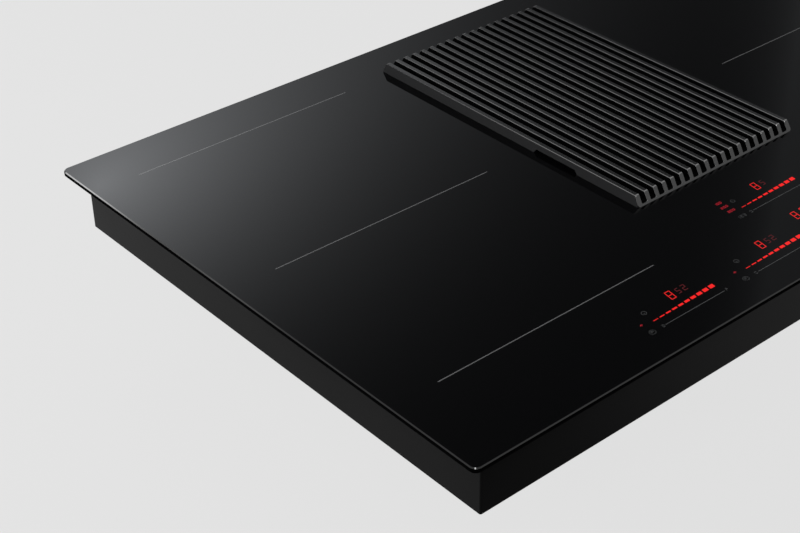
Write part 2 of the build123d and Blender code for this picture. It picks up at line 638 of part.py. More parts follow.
def filter_mesh(side):
    """A perforated sheet that leans from the rim down to the trough."""
    lean_x = PANEL_TOP_X - PANEL_FOOT_X
    slope_l = math.hypot(lean_x, PANEL_RISE)
    tilt = math.degrees(math.atan2(PANEL_RISE, lean_x))
    length = BASKET_BODY_L - 2 * BASKET_WALL
    rows = int((slope_l - 2 * MESH_MARGIN) // MESH_PITCH)
    holes = int((length - 2 * MESH_MARGIN) // MESH_PITCH)
    sheet = Rectangle(slope_l + 4 * MESH_T, length)
    sheet -= [Pos((row - (rows - 1) / 2) * MESH_PITCH, (hole - (holes - 1) / 2) * MESH_PITCH)
              * Rectangle(MESH_HOLE, MESH_HOLE) for row in range(rows) for hole in range(holes)]
    panel = extrude(sheet, MESH_T)
    middle_x = (PANEL_TOP_X + PANEL_FOOT_X) / 2
    middle_z = Z_LEDGE - PANEL_RISE / 2
    panel = Pos(side * middle_x, GRILLE_Y, middle_z) * Rot(0, -side * tilt, 0) * panel
    # cut level at both ends: it stands on the trough's wall and ends under the rim
    return panel & block(BASKET_BODY_W, BASKET_BODY_L, Z_BASKET_FOOT + TROUGH_H, Z_LEDGE, y=GRILLE_Y)


def filter_handle():
    """A wire bar that arches across the basket from rim to rim."""
    reach = BASKET_W / 2 - BASKET_RIM_W / 2
    z_bar = Z_BASKET_TOP + HANDLE_ARCH + HANDLE_R
    path = FilletPolyline((-reach, GRILLE_Y, Z_BASKET_TOP), (-reach, GRILLE_Y, z_bar),
                          (reach, GRILLE_Y, z_bar), (reach, GRILLE_Y, Z_BASKET_TOP),
                          radius=min(HANDLE_ARCH + HANDLE_R, 2 * HANDLE_R) * 0.9)
    section = Pos(-reach, GRILLE_Y, Z_BASKET_TOP) * Circle(HANDLE_R)
    return sweep(section, path)


# ---------------------------------------------------------------- fan housing

def tray_slot():
    """The cutter for the drawer's slot in the housing's front wall."""
    half = TRAY_W / 2 + TRAY_GAP
    y = HOUSE_IN_Y0 - HOUSE_WALL
    return span(-half, half, y - 1, HOUSE_IN_Y0 + 1, HOUSE_WALL, HOUSE_WALL + TRAY_H + 2 * TRAY_GAP)


def house_block(grow, z0, z1, r):
    """The housing's inside block, made larger all round by grow."""
    w = HOUSE_IN_X1 - HOUSE_IN_X0 + 2 * grow
    d = HOUSE_IN_Y1 - HOUSE_IN_Y0 + 2 * grow
    return block(w, d, z0, z1, (HOUSE_IN_X0 + HOUSE_IN_X1) / 2, (HOUSE_IN_Y0 + HOUSE_IN_Y1) / 2, r)


def lower_housing():
    tub = house_block(HOUSE_WALL, 0, HOUSE_LOWER_H, HOUSE_R + HOUSE_WALL)
    tub += house_block(HOUSE_WALL + HOUSE_FLANGE_W, HOUSE_LOWER_H - HOUSE_FLANGE_T, HOUSE_LOWER_H,
                       HOUSE_R + HOUSE_WALL + HOUSE_FLANGE_W)
    tub -= house_block(0, HOUSE_WALL, HOUSE_LOWER_H + 1, HOUSE_R)
    cuts = [tray_slot()]
    cuts.append(Pos(COLLAR_X, HOUSE_OUT_Y1 - HOUSE_WALL / 2, COLLAR_Z)
                * Box(COLLAR_IN_W, 2 * HOUSE_WALL, COLLAR_IN_H))
    for x, y in housing_screw_places():
        cuts.append(rod(SCREW_R, HOUSE_LOWER_H - HOUSE_FLANGE_T - 1, HOUSE_LOWER_H + 1, x, y))
    for x, z in collar_screw_places():
        cuts.append(rod_y(SCREW_R, HOUSE_IN_Y1 - 1, HOUSE_OUT_Y1 + 1, x, z))
    return tub - cuts


def upper_housing():
    cover = house_block(HOUSE_WALL, HOUSE_LOWER_H, Z_PAN, HOUSE_R + HOUSE_WALL)
    cover += house_block(HOUSE_WALL + HOUSE_FLANGE_W, HOUSE_LOWER_H, HOUSE_LOWER_H + HOUSE_FLANGE_T,
                         HOUSE_R + HOUSE_WALL + HOUSE_FLANGE_W)
    cover -= house_block(0, HOUSE_LOWER_H - 1, Z_PAN - HOUSE_WALL, HOUSE_R)
    cuts = [block(WELL_OUT_W + 2 * WELL_STEP, WELL_OUT_L + 2 * WELL_STEP, Z_PAN - HOUSE_WALL - 1,
                  Z_PAN + 1, y=GRILLE_Y, r=WELL_R + WELL_STEP)]
    for x, y in housing_screw_places():
        cuts.append(rod(SCREW_R + SCREW_HOLE_GAP, HOUSE_LOWER_H - 1,
                        HOUSE_LOWER_H + HOUSE_FLANGE_T + 1, x, y))
    for x, y in pan_screw_places():
        cuts.append(rod(SCREW_R, Z_PAN - HOUSE_WALL - 1, Z_PAN + 1, x, y))
    return cover - cuts


def scroll_face():
    """The scroll's inside, seen from above: three quarter arcs, a straight and a flared outlet."""
    g = SCROLL_GROWTH / 2
    r = WHEEL_R + SCROLL_GAP + g
    tongue = Vector(-g, WHEEL_R + SCROLL_GAP)
    mouth_y = HOUSE_IN_Y1 - SCROLL_FRONT_GAP - FAN_Y
    right = WHEEL_R + GAPS[3]
    left = COLLAR_X - COLLAR_IN_W / 2 - FAN_X
    walls = Curve() + [
        CenterArc((-g, -g), r, 90, 90),
        CenterArc((g, -g), r + 2 * g, 180, 90),
        CenterArc((g, g), r + 4 * g, 270, 90),
        Line((right, g), (right, mouth_y)),
        Line((right, mouth_y), (left, mouth_y)),
        Line((left, mouth_y), tongue),
    ]
    outline = make_face(walls)
    nose = outline.vertices().sort_by_distance(tongue)[0]
    return Pos(FAN_X, FAN_Y) * fillet(nose, TONGUE_R)


def fan_scroll():
    inner = scroll_face()
    shell = Pos(0, 0, HOUSE_WALL) * extrude(offset(inner, SCROLL_WALL), Z_DECK - HOUSE_WALL)
    shell -= Pos(0, 0, Z_SCROLL_FLOOR) * extrude(inner, Z_DECK)
    mouth_y = HOUSE_IN_Y1 - SCROLL_FRONT_GAP
    shell -= span(HOUSE_IN_X0, HOUSE_IN_X1, mouth_y, mouth_y + 2 * SCROLL_WALL, 0, HOUSE_LOWER_H)
    for x, y in bush_places():
        shell -= rod(SCREW_R, 0, Z_SCROLL_FLOOR + 1, x, y)
    return shell


def fan_deck():
    x0 = WELL_OUT_W / 2 + STOP_GAP
    deck = span(x0, HOUSE_IN_X1 - STOP_GAP, HOUSE_IN_Y0 + STOP_GAP, HOUSE_IN_Y1 - STOP_GAP,
                Z_DECK, HOUSE_LOWER_H)
    deck = fillet(deck.edges().filter_by(Axis.Z).sort_by(Axis.X)[-2:], HOUSE_R)
    return deck - rod(inlet_outer_r(), Z_DECK - 1, HOUSE_LOWER_H + 1, FAN_X, FAN_Y)


# ---------------------------------------------------------------- fan and motor

def inlet_outer_r():
    return WHEEL_EYE_R - INLET_GAP + INLET_FLARE


def inlet_ring():
    """A bellmouth: a flat rim on the deck, a flare, and a throat that reaches into the wheel."""
    throat = WHEEL_EYE_R - INLET_GAP
    rim = inlet_outer_r() + HOUSE_FLANGE_W
    top = HOUSE_LOWER_H + INLET_T
    foot = Z_WHEEL_TOP - INLET_LAP
    outer = [(throat, foot), (throat, Z_DECK - INLET_FLARE / 2), (throat + INLET_FLARE - INLET_T, Z_DECK),
             (throat + INLET_FLARE - INLET_T, HOUSE_LOWER_H), (rim, HOUSE_LOWER_H), (rim, top)]
    inner = [(throat + INLET_FLARE - 2 * INLET_T, top), (throat - INLET_T, Z_DECK - INLET_FLARE / 2),
             (throat - INLET_T, foot)]
    return Pos(FAN_X, FAN_Y) * lens(outer + inner)


def fan_wheel():
    hat_in = MOTOR_R + MOTOR_CLEAR
    hat_out = hat_in + WHEEL_PLATE_T
    hat_z = Z_MOTOR_TOP + MOTOR_CLEAR
    bore = SHAFT_R
    section = [(hat_in, Z_WHEEL), (WHEEL_R, Z_WHEEL), (WHEEL_R, Z_WHEEL + WHEEL_PLATE_T),
               (hat_out, Z_WHEEL + WHEEL_PLATE_T), (hat_out, hat_z + WHEEL_PLATE_T),
               (HUB_R, hat_z + WHEEL_PLATE_T), (HUB_R, hat_z + HUB_H), (bore, hat_z + HUB_H),
               (bore, hat_z), (hat_in, hat_z)]
    ring = Pos(0, 0, Z_WHEEL_TOP - WHEEL_RING_T) * extrude(
        Circle(WHEEL_R) - Circle(WHEEL_EYE_R), WHEEL_RING_T)
    blades = bladed(WHEEL_EYE_R, WHEEL_R - BLADE_T, BLADES, BLADE_T, BLADE_LEAN,
                    Z_WHEEL, Z_WHEEL_TOP)
    return Pos(FAN_X, FAN_Y) * (lens(section) + ring + blades)


def motor_shaft():
    top = Z_MOTOR_TOP + MOTOR_CLEAR + HUB_H
    return rod(SHAFT_R, Z_MOTOR + STOP_GAP, top, FAN_X, FAN_Y)


def motor_bearings():
    bearings = []
    for z in (Z_MOTOR + BEARING_SEAT_T, Z_MOTOR_TOP - BEARING_SEAT_T - BEARING_H):
        ring = rod(BEARING_R, z, z + BEARING_H, FAN_X, FAN_Y)
        bearings.append(ring - rod(SHAFT_R + SHAFT_FIT, z - 1, z + BEARING_H + 1, FAN_X, FAN_Y))
    return bearings


def motor_can():
    """The motor's drum: a closed top with a bearing seat under it, open towards the mount plate."""
    seat_z = Z_MOTOR_TOP - BEARING_SEAT_T - BEARING_H
    section = [(SHAFT_R + 1, Z_MOTOR_TOP), (MOTOR_R, Z_MOTOR_TOP), (MOTOR_R, Z_MOTOR),
               (MOTOR_R - CAN_T, Z_MOTOR), (MOTOR_R - CAN_T, Z_MOTOR_TOP - CAN_T),
               (BEARING_R + CAN_T, Z_MOTOR_TOP - CAN_T), (BEARING_R + CAN_T, seat_z),
               (BEARING_R, seat_z), (BEARING_R, Z_MOTOR_TOP - BEARING_SEAT_T),
               (SHAFT_R + 1, Z_MOTOR_TOP - BEARING_SEAT_T)]
    return Pos(FAN_X, FAN_Y) * lens(section)


def motor_stator():
    z0 = Z_MOTOR + BEARING_SEAT_T + BEARING_H + STOP_T
    z1 = Z_MOTOR_TOP - BEARING_SEAT_T - BEARING_H - STOP_T
    return rod(MOTOR_R - CAN_T, z0, z1, FAN_X, FAN_Y) - rod(STATOR_IN_R, z0 - 1, z1 + 1, FAN_X, FAN_Y)


def motor_rotor():
    z0 = Z_MOTOR + BEARING_SEAT_T + BEARING_H + STOP_T
    z1 = Z_MOTOR_TOP - BEARING_SEAT_T - BEARING_H - STOP_T
    core = rod(STATOR_IN_R - AIR_GAP, z0, z1, FAN_X, FAN_Y)
    return core - rod(SHAFT_R, z0 - 1, z1 + 1, FAN_X, FAN_Y)


def motor_mount_plate():
    plate = rod(MOUNT_PLATE_R, Z_MOUNT, Z_MOTOR, FAN_X, FAN_Y)
    seat_top = Z_MOTOR + BEARING_SEAT_T + BEARING_H
    plate += rod(BEARING_R + CAN_T, Z_MOUNT, seat_top, FAN_X, FAN_Y)
    plate -= rod(BEARING_R, Z_MOTOR + BEARING_SEAT_T, seat_top + 1, FAN_X, FAN_Y)
    plate -= rod(SHAFT_R + 1, Z_MOTOR, seat_top, FAN_X, FAN_Y)
    for x, y in bush_places():
        plate -= rod(SCREW_R + SCREW_HOLE_GAP, Z_MOUNT - 1, Z_MOTOR + 1, x, y)
    return plate


def bush_places():
    turn = 2 * math.pi / BUSHES
    return [(FAN_X + BUSH_PCR * math.cos(n * turn), FAN_Y + BUSH_PCR * math.sin(n * turn))
            for n in range(BUSHES)]


def motor_bushes():
    return [rod(BUSH_R, Z_SCROLL_FLOOR, Z_MOUNT, x, y)
            - rod(BUSH_BORE_R, Z_SCROLL_FLOOR - 1, Z_MOUNT + 1, x, y) for x, y in bush_places()]


# ---------------------------------------------------------------- outlet

def collar_screw_places():
    x = COLLAR_OUT_W / 2 + COLLAR_FLANGE_W / 2
    z = COLLAR_SCREW_SPAN / 2
    return [(COLLAR_X + sx * x, COLLAR_Z + sz * z) for sx in (-1, 1) for sz in (-1, 1)]


def tube_y(w, h, wall, y0, y1, r):
    """A rectangular tube along Y round the outlet's axis."""
    outline = RectangleRounded(w, h, r) - Rectangle(w - 2 * wall, h - 2 * wall)
    return Pos(COLLAR_X, y1, COLLAR_Z) * Rot(90, 0, 0) * extrude(outline, y1 - y0)


def flap_pin_z(n):
    return FLAP_TOP_Z - n * FLAP_STEP


def outlet_collar():
    y0 = HOUSE_OUT_Y1
    collar = tube_y(COLLAR_OUT_W, COLLAR_OUT_H, COLLAR_WALL, y0, y0 + COLLAR_FLANGE_T + COLLAR_L,
                    COLLAR_WALL)
    flange_w = COLLAR_OUT_W + 2 * COLLAR_FLANGE_W
    flange_h = COLLAR_OUT_H + 2 * COLLAR_FLANGE_W
    collar += tube_y(flange_w, flange_h, COLLAR_FLANGE_W + COLLAR_WALL, y0, y0 + COLLAR_FLANGE_T,
                     COLLAR_R)
    # two jambs on the fan's side, which the hanging flaps close against
    stop_y = FLAP_Y - FLAP_T / 2 - STOP_GAP - STOP_T / 2
    for side in (-1, 1):
        x = COLLAR_X + side * (COLLAR_IN_W / 2 - JAMB_W / 2)
        collar += Pos(x, stop_y, COLLAR_Z) * Box(JAMB_W, STOP_T, COLLAR_IN_H)
    cuts = []
    for n in range(FLAPS):
        cuts.append(rod_x(FLAP_PIN_R, COLLAR_X - COLLAR_OUT_W, COLLAR_X + COLLAR_OUT_W, FLAP_Y,
                          flap_pin_z(n)))
        cuts.append(rod_x(FLAP_BARREL_R + STOP_GAP, COLLAR_X - COLLAR_IN_W / 2,
                          COLLAR_X + COLLAR_IN_W / 2, FLAP_Y, flap_pin_z(n)))
    for x, z in collar_screw_places():
        cuts.append(rod_y(SCREW_R + SCREW_HOLE_GAP, y0 - 1, y0 + COLLAR_FLANGE_T + 1, x, z))
    return collar - cuts


def flap(n):
    """A thin leaf that hangs from its barrel, closed."""
    z = flap_pin_z(n)
    half = COLLAR_IN_W / 2 - FLAP_SIDE_GAP
    leaf = span(COLLAR_X - half, COLLAR_X + half, FLAP_Y - FLAP_T / 2, FLAP_Y + FLAP_T / 2,
                z - FLAP_L, z)
    leaf += rod_x(FLAP_BARREL_R, COLLAR_X - half, COLLAR_X + half, FLAP_Y, z)
    return leaf - rod_x(FLAP_PIN_R + FLAP_FIT, COLLAR_X - half - 1, COLLAR_X + half + 1, FLAP_Y, z)


def flap_pins():
    return [rod_x(FLAP_PIN_R, COLLAR_X - COLLAR_OUT_W / 2, COLLAR_X + COLLAR_OUT_W / 2, FLAP_Y,
                  flap_pin_z(n)) for n in range(FLAPS)]


# ---------------------------------------------------------------- drip drawer

def drip_drawer():
    front_y = HOUSE_IN_Y0 - HOUSE_WALL - STOP_GAP
    z0 = HOUSE_WALL + TRAY_GAP
    back_y = front_y + TRAY_L
    tray = span(-TRAY_W / 2, TRAY_W / 2, front_y - TRAY_FRONT_T, back_y, z0, z0 + TRAY_H)
    tray -= span(-TRAY_W / 2 + TRAY_WALL, TRAY_W / 2 - TRAY_WALL, front_y, back_y - TRAY_WALL,
                 z0 + TRAY_WALL, z0 + TRAY_H + 1)
    lap = TRAY_W / 2 + TRAY_LAP
    tray += span(-lap, lap, front_y - TRAY_FRONT_T, front_y, z0, z0 + TRAY_H + TRAY_LAP)
    pull = rod_x(TRAY_FRONT_T, -PULL_W / 2, PULL_W / 2, front_y - TRAY_FRONT_T, z0 + TRAY_H - TRAY_FRONT_T)
    return tray + pull


# ---------------------------------------------------------------- coils and carriers

def coil(side, y):
    """A flat oval winding: a ring with grooves between its turns."""
    ring = block(COIL_W, COIL_D, Z_COIL, Z_MICA, side * ZONE_X, y, COIL_R)
    eye_r = COIL_EYE_D / 2 - 1
    ring -= block(COIL_EYE_W, COIL_EYE_D, Z_COIL - 1, Z_MICA + 1, side * ZONE_X, y, eye_r)
    step = (COIL_D - COIL_EYE_D) / 2 / (COIL_GROOVES + 1)
    for n in range(1, COIL_GROOVES + 1):
        w, d = COIL_W - 2 * n * step, COIL_D - 2 * n * step
        r = max(COIL_R - n * step, eye_r)
        ring -= frame(w, d, COIL_GROOVE_D, Z_MICA - COIL_GROOVE_D, Z_MICA + 1, side * ZONE_X, y,
                      min(r, d / 2 - 1))
    return ring


def zones():
    return [(side, y) for side in (-1, 1) for y in (ZONE_Y_FRONT, ZONE_Y_BACK)]


def ferrite_bars():
    """Bars under each coil, laid out like the spokes of a wheel."""
    bars = []
    for side, y in zones():
        for n in range(FERRITES):
            reach = COIL_EYE_W / 2 + FERRITE_L / 2 + FERRITE_OUT
            turn = (n + 0.5) * 360 / FERRITES
            bar = Rot(0, 0, turn) * Pos(reach, 0, 0) * Box(FERRITE_L, FERRITE_W, FERRITE_T)
            bars.append(Pos(side * ZONE_X, y, Z_FERRITE + FERRITE_T / 2) * bar)
    return bars


def post_places(side):
    return [(side * ZONE_X + sx * POST_X, ZONE_Y + sy * POST_Y) for sx in (-1, 1) for sy in (-1, 1)]


def coil_carrier(side):
    plate = block(CARRIER_W, CARRIER_D, Z_CARRIER, Z_FERRITE, side * ZONE_X, ZONE_Y, POST_R)
    for zone_side, y in zones():
        if zone_side == side:
            plate -= rod(SENSOR_R, Z_CARRIER - 1, Z_FERRITE + 1, side * ZONE_X, y)
    return plate


def carrier_posts():
    return [rod(POST_R, Z_PAN_FLOOR, Z_CARRIER, x, y) for side in (-1, 1) for x, y in post_places(side)]


def mica_sheets():
    return [block(CARRIER_W, CARRIER_D, Z_MICA, Z_BLANKET, side * ZONE_X, ZONE_Y) for side in (-1, 1)]


def insulation_blankets():
    return [block(CARRIER_W, CARRIER_D, Z_BLANKET, Z_GLASS, side * ZONE_X, ZONE_Y) for side in (-1, 1)]


def coil_sensors():
    """A spring-loaded probe through each coil's eye; its tip lies against the mica."""
    return [rod(SENSOR_R - SCREW_HOLE_GAP, Z_CARRIER, Z_MICA, side * ZONE_X, y) for side, y in zones()]


# ---------------------------------------------------------------- power boards and coolers

def standoff_places(side):
    x = BOARD_W / 2 - STANDOFF_INSET
    y = BOARD_D / 2 - STANDOFF_INSET
    return [(side * ZONE_X + sx * x, BOARD_Y + sy * y) for sx in (-1, 1) for sy in (-1, 1)]


def power_board(side):
    """The board with its relays, smoothing capacitors and chokes."""
    x = side * ZONE_X
    board = block(BOARD_W, BOARD_D, Z_BOARD, Z_BOARD_TOP, x, BOARD_Y)
    lane = SINK_W / 2 + (BOARD_W - SINK_W) / 4
    for n in range(BOARD_ROWS):
        y = BOARD_Y + (n - (BOARD_ROWS - 1) / 2) * BOARD_ROW_PITCH
        board += block(RELAY_W, RELAY_D, Z_BOARD_TOP, Z_BOARD_TOP + RELAY_H, x + lane, y, RELAY_R)
        board += rod(CAPACITOR_R, Z_BOARD_TOP, Z_SINK_TOP, x - lane, y)
    return board


def board_standoffs():
    return [rod(STANDOFF_R, Z_PAN_FLOOR, Z_BOARD, x, y)
            for side in (-1, 1) for x, y in standoff_places(side)]


def heat_sinks():
    """One finned extrusion on each power board."""
    sinks = []
    for side in (-1, 1):
        x = side * ZONE_X
        sink = block(SINK_W, SINK_L, Z_BOARD_TOP, Z_BOARD_TOP + SINK_BASE, x, BOARD_Y)
        for n in range(SINK_FINS):
            fin_x = x + (n - (SINK_FINS - 1) / 2) * (SINK_W - SINK_FIN_T) / (SINK_FINS - 1)
            sink += block(SINK_FIN_T, SINK_L, Z_BOARD_TOP, Z_SINK_TOP, fin_x, BOARD_Y)
        sinks.append(sink)
    return sinks


def cooler_case(side):
    """A square blower case, open at the top for the rotor's eye and at the front towards the sink."""
    x = side * ZONE_X
    z0, z1 = Z_PAN_FLOOR, Z_COOLER_TOP
    case = block(COOLER_SIZE, COOLER_SIZE, z0, z1, x, COOLER_Y)
    case -= rod(COOLER_R + COOLER_GAP, z0 + COOLER_WALL, z1 - COOLER_WALL, x, COOLER_Y)
    case -= span(x - SINK_W / 2, x + SINK_W / 2, COOLER_Y - COOLER_SIZE, COOLER_Y,
                 z0 + COOLER_WALL, z1 - COOLER_WALL)
    case -= rod(COOLER_EYE_R, z1 - COOLER_WALL - 1, z1 + 1, x, COOLER_Y)
    return case + rod(AXLE_R, z0, z1 - COOLER_WALL - COOLER_GAP, x, COOLER_Y)


def cooler_rotor(side):
    z0 = Z_PAN_FLOOR + COOLER_WALL + COOLER_GAP / 2
    z1 = Z_COOLER_TOP - COOLER_WALL - COOLER_GAP
    rotor = rod(COOLER_R, z0, z0 + COOLER_WALL) + rod(COOLER_HUB_R, z0, z1)
    rotor += bladed(COOLER_EYE_R, COOLER_R - BLADE_T, COOLER_BLADES, BLADE_T, BLADE_LEAN, z0, z1)
    rotor -= rod(AXLE_R + AXLE_FIT, z0 - 1, z1 + 1)
    return Pos(side * ZONE_X, COOLER_Y) * rotor


# ---------------------------------------------------------------- touch board

def touch_outline(grow, z0, z1):
    strip = block(TOUCH_W + 2 * grow, TOUCH_D, z0, z1, y=TOUCH_Y)
    return strip + block(TOUCH_TAB_W, TOUCH_TAB_D + 1, z0, z1, y=TAB_Y - 0.5)


def touch_board():
    return touch_outline(0, Z_TOUCH, Z_TOUCH_TOP)


def touch_holder():
    """A plastic tray under the touch board, on legs that stand on the pan's floor."""
    holder = touch_outline(HOLDER_T, Z_HOLDER, Z_TOUCH)
    x = TOUCH_W / 2 - HOLDER_LEG_R
    for n in range(HOLDER_LEGS):
        leg_x = -x + n * 2 * x / (HOLDER_LEGS - 1)
        holder += rod(HOLDER_LEG_R, Z_PAN_FLOOR, Z_HOLDER, leg_x, TOUCH_Y)
    return holder


def display_guides():
    """Light guides for the sliders' bars and digits, four in the strip and one on the tab."""
    outer = DISPLAY_INNER + DISPLAY_STEP
    guides = [block(DISPLAY_W, DISPLAY_D, Z_TOUCH_TOP, Z_GLASS, x, TOUCH_Y)
              for x in (-outer, -DISPLAY_INNER, DISPLAY_INNER, outer)]
    return guides + [block(DISPLAY_W, DISPLAY_D, Z_TOUCH_TOP, Z_GLASS, 0, TAB_Y)]


def touch_springs():
    """Spring contacts between the board and the glass, one under each key."""
    y = TOUCH_Y + DISPLAY_D / 2 + 2 * KEY_R
    return [rod(KEY_R, Z_TOUCH_TOP, Z_GLASS, x, y) for x in KEYS_X]


# ---------------------------------------------------------------- mains side

def cable_gland():
    """The gland's threaded body and hexagon head, with its lock nut inside the pan."""
    wall_in, wall_out = PAN_D / 2 - PAN_T, PAN_D / 2
    hexagon = Plane.XZ * RegularPolygon(GLAND_HEAD_R, 6)
    head = Pos(GLAND_X, wall_out + GLAND_HEAD_T, GLAND_Z) * extrude(hexagon, GLAND_HEAD_T)
    body = head + rod_y(GLAND_R, wall_in - 2 * GLAND_NUT_T, wall_out + 1, GLAND_X, GLAND_Z)
    body -= rod_y(GLAND_BORE_R, wall_in - 3 * GLAND_NUT_T, wall_out + 2 * GLAND_HEAD_T, GLAND_X, GLAND_Z)
    nut = Pos(GLAND_X, wall_in, GLAND_Z) * extrude(hexagon, GLAND_NUT_T)
    return [body, nut - rod_y(GLAND_R, wall_in - 2 * GLAND_NUT_T, wall_out + 1, GLAND_X, GLAND_Z)]


def terminal_block():
    y = SERVICE_Y - TERMINAL_FORWARD
    x = GLAND_X - GLAND_HEAD_R - TERMINAL_W / 2 - COOLER_GAP
    body = block(TERMINAL_W, TERMINAL_D, Z_PAN_FLOOR, Z_PAN_FLOOR + TERMINAL_H, x, y)
    top = Z_PAN_FLOOR + TERMINAL_H
    for n in range(TERMINAL_POLES):
        pole_x = x + (n - (TERMINAL_POLES - 1) / 2) * TERMINAL_PITCH
        body -= rod(SCREW_HEAD_R, top - TERMINAL_POLE_DEPTH, top + 1, pole_x, y)
    return body


def filter_board():
    """The mains filter, standing beside the terminal block: a board, two chokes and a capacitor."""
    x = GLAND_X - GLAND_HEAD_R - TERMINAL_W - COOLER_GAP * 2 - FILTER_BOARD_W / 2
    y = SERVICE_Y
    z = Z_PAN_FLOOR + FILTER_LIFT
    board = block(FILTER_BOARD_W, FILTER_BOARD_D, z, z + BOARD_T, x, y)
    for n in (-1, 1):
        leg_x = x + n * (FILTER_BOARD_W / 2 - STANDOFF_R)
        board += rod(STANDOFF_R, Z_PAN_FLOOR, z, leg_x, y)
        board += rod(CHOKE_R, z + BOARD_T, Z_PAN_FLOOR + TERMINAL_H, x + n * CHOKE_STEP / 2, y)
    return board


def coil_leads():
    """One lead a coil: out of the winding's side, down past the carrier, onto the power board."""
    leads = []
    for side, zone_y in zones():
        y = zone_y if zone_y == ZONE_Y_FRONT else BOARD_Y + BOARD_D / 2 - 4 * CABLE_R
        x_coil = side * (ZONE_X - COIL_W / 2)
        x_drop = side * (ZONE_X - CARRIER_W / 2 - 3 * CABLE_R)
        x_end = side * (ZONE_X - BOARD_W / 2 + STANDOFF_INSET / 2)
        z_coil = Z_COIL + COIL_T / 2
        z_board = Z_BOARD_TOP + CABLE_R + STOP_GAP
        path = FilletPolyline((x_coil, y, z_coil), (x_drop, y, z_coil), (x_drop, y, z_board),
                              (x_end, y, z_board), radius=3 * CABLE_R)
        section = Plane(origin=(x_coil, y, z_coil), z_dir=(-side, 0, 0)) * Circle(CABLE_R)
        leads.append(sweep(section, path))
    return leads


def ribbon_cable():
    """A flat cable from the touch board's back edge down to the left power board."""
    x = -ZONE_X + BOARD_W / 2 - RIBBON_W
    drop_y = (TOUCH_BACK_Y + ZONE_Y - CARRIER_D / 2) / 2
    end_y = BOARD_Y - BOARD_D / 2 + STANDOFF_INSET / 2
    z_top = Z_TOUCH + RIBBON_T / 2
    z_foot = Z_BOARD_TOP + STOP_GAP + RIBBON_T / 2
    line = Polyline((TOUCH_BACK_Y, z_top), (drop_y, z_top), (drop_y, z_foot), (end_y, z_foot))
    strip = extrude(Plane.YZ * trace(line, RIBBON_T), RIBBON_W)
    return Pos(x - RIBBON_W / 2, 0, 0) * strip - touch_outline(HOLDER_T, Z_HOLDER, Z_TOUCH_TOP)


# ---------------------------------------------------------------- screws

def screws():
    """All pan-head screws of the fixed body: flange, pan floor, motor mount and collar."""
    group = [screw_down(x, y, HOUSE_LOWER_H + HOUSE_FLANGE_T, SCREW_L) for x, y in housing_screw_places()]
    group += [screw_down(x, y, Z_PAN_FLOOR, SCREW_L) for x, y in pan_screw_places()]
    group += [screw_down(x, y, Z_MOTOR, Z_MOTOR - HOUSE_WALL) for x, y in bush_places()]
    collar_y = HOUSE_OUT_Y1 + COLLAR_FLANGE_T
    for x, z in collar_screw_places():
        group.append(Pos(x, collar_y, z) * Rot(-90, 0, 0) * screw_down(0, 0, 0, SCREW_L))
    return group


# ---------------------------------------------------------------- all sub-parts

def build_all():
    parts = {
        "glass_top": glass_top(), "worktop_seal": worktop_seal(), "glass_bond": glass_bond(),
        "base_pan": base_pan(), "grille": grille(), "grille_feet": grille_feet(), "well_seal": well_seal(),
        "intake_well": intake_well(), "filter_basket": filter_basket(),
        "filter_mesh_left": filter_mesh(-1), "filter_mesh_right": filter_mesh(1),
        "filter_handle": filter_handle(), "lower_housing": lower_housing(),
        "upper_housing": upper_housing(), "fan_scroll": fan_scroll(), "fan_deck": fan_deck(),
        "inlet_ring": inlet_ring(), "fan_wheel": fan_wheel(), "motor_can": motor_can(),
        "motor_stator": motor_stator(), "motor_rotor": motor_rotor(), "motor_shaft": motor_shaft(),
        "motor_bearings": motor_bearings(), "motor_mount_plate": motor_mount_plate(),
        "motor_bushes": motor_bushes(), "outlet_collar": outlet_collar(), "flap_pins": flap_pins(),
        "drip_drawer": drip_drawer(), "ferrite_bars": ferrite_bars(), "carrier_posts": carrier_posts(),
        "mica_sheets": mica_sheets(), "insulation_blankets": insulation_blankets(),
        "coil_sensors": coil_sensors(), "board_standoffs": board_standoffs(),
        "heat_sinks": heat_sinks(),
        "touch_board": touch_board(), "touch_holder": touch_holder(),
        "display_guides": display_guides(), "touch_springs": touch_springs(),
        "cable_gland": cable_gland(), "terminal_block": terminal_block(),
        "filter_board": filter_board(), "coil_leads": coil_leads(), "ribbon_cable": ribbon_cable(),
        "pan_head_screws": screws(),
    }
    for n, place in enumerate(("top", "middle", "bottom")[:FLAPS]):
        parts[f"flap_{place}"] = flap(n)
    for side, name in ((-1, "left"), (1, "right")):
        parts[f"coil_front_{name}"] = coil(side, ZONE_Y_FRONT)
        parts[f"coil_back_{name}"] = coil(side, ZONE_Y_BACK)
        parts[f"coil_carrier_{name}"] = coil_carrier(side)
        parts[f"power_board_{name}"] = power_board(side)
        parts[f"cooler_case_{name}"] = cooler_case(side)
        parts[f"cooler_rotor_{name}"] = cooler_rotor(side)
    return parts


os.makedirs("parts", exist_ok=True)
for part_name, part_shape in build_all().items():
    write(part_name, part_shape)
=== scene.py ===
import math

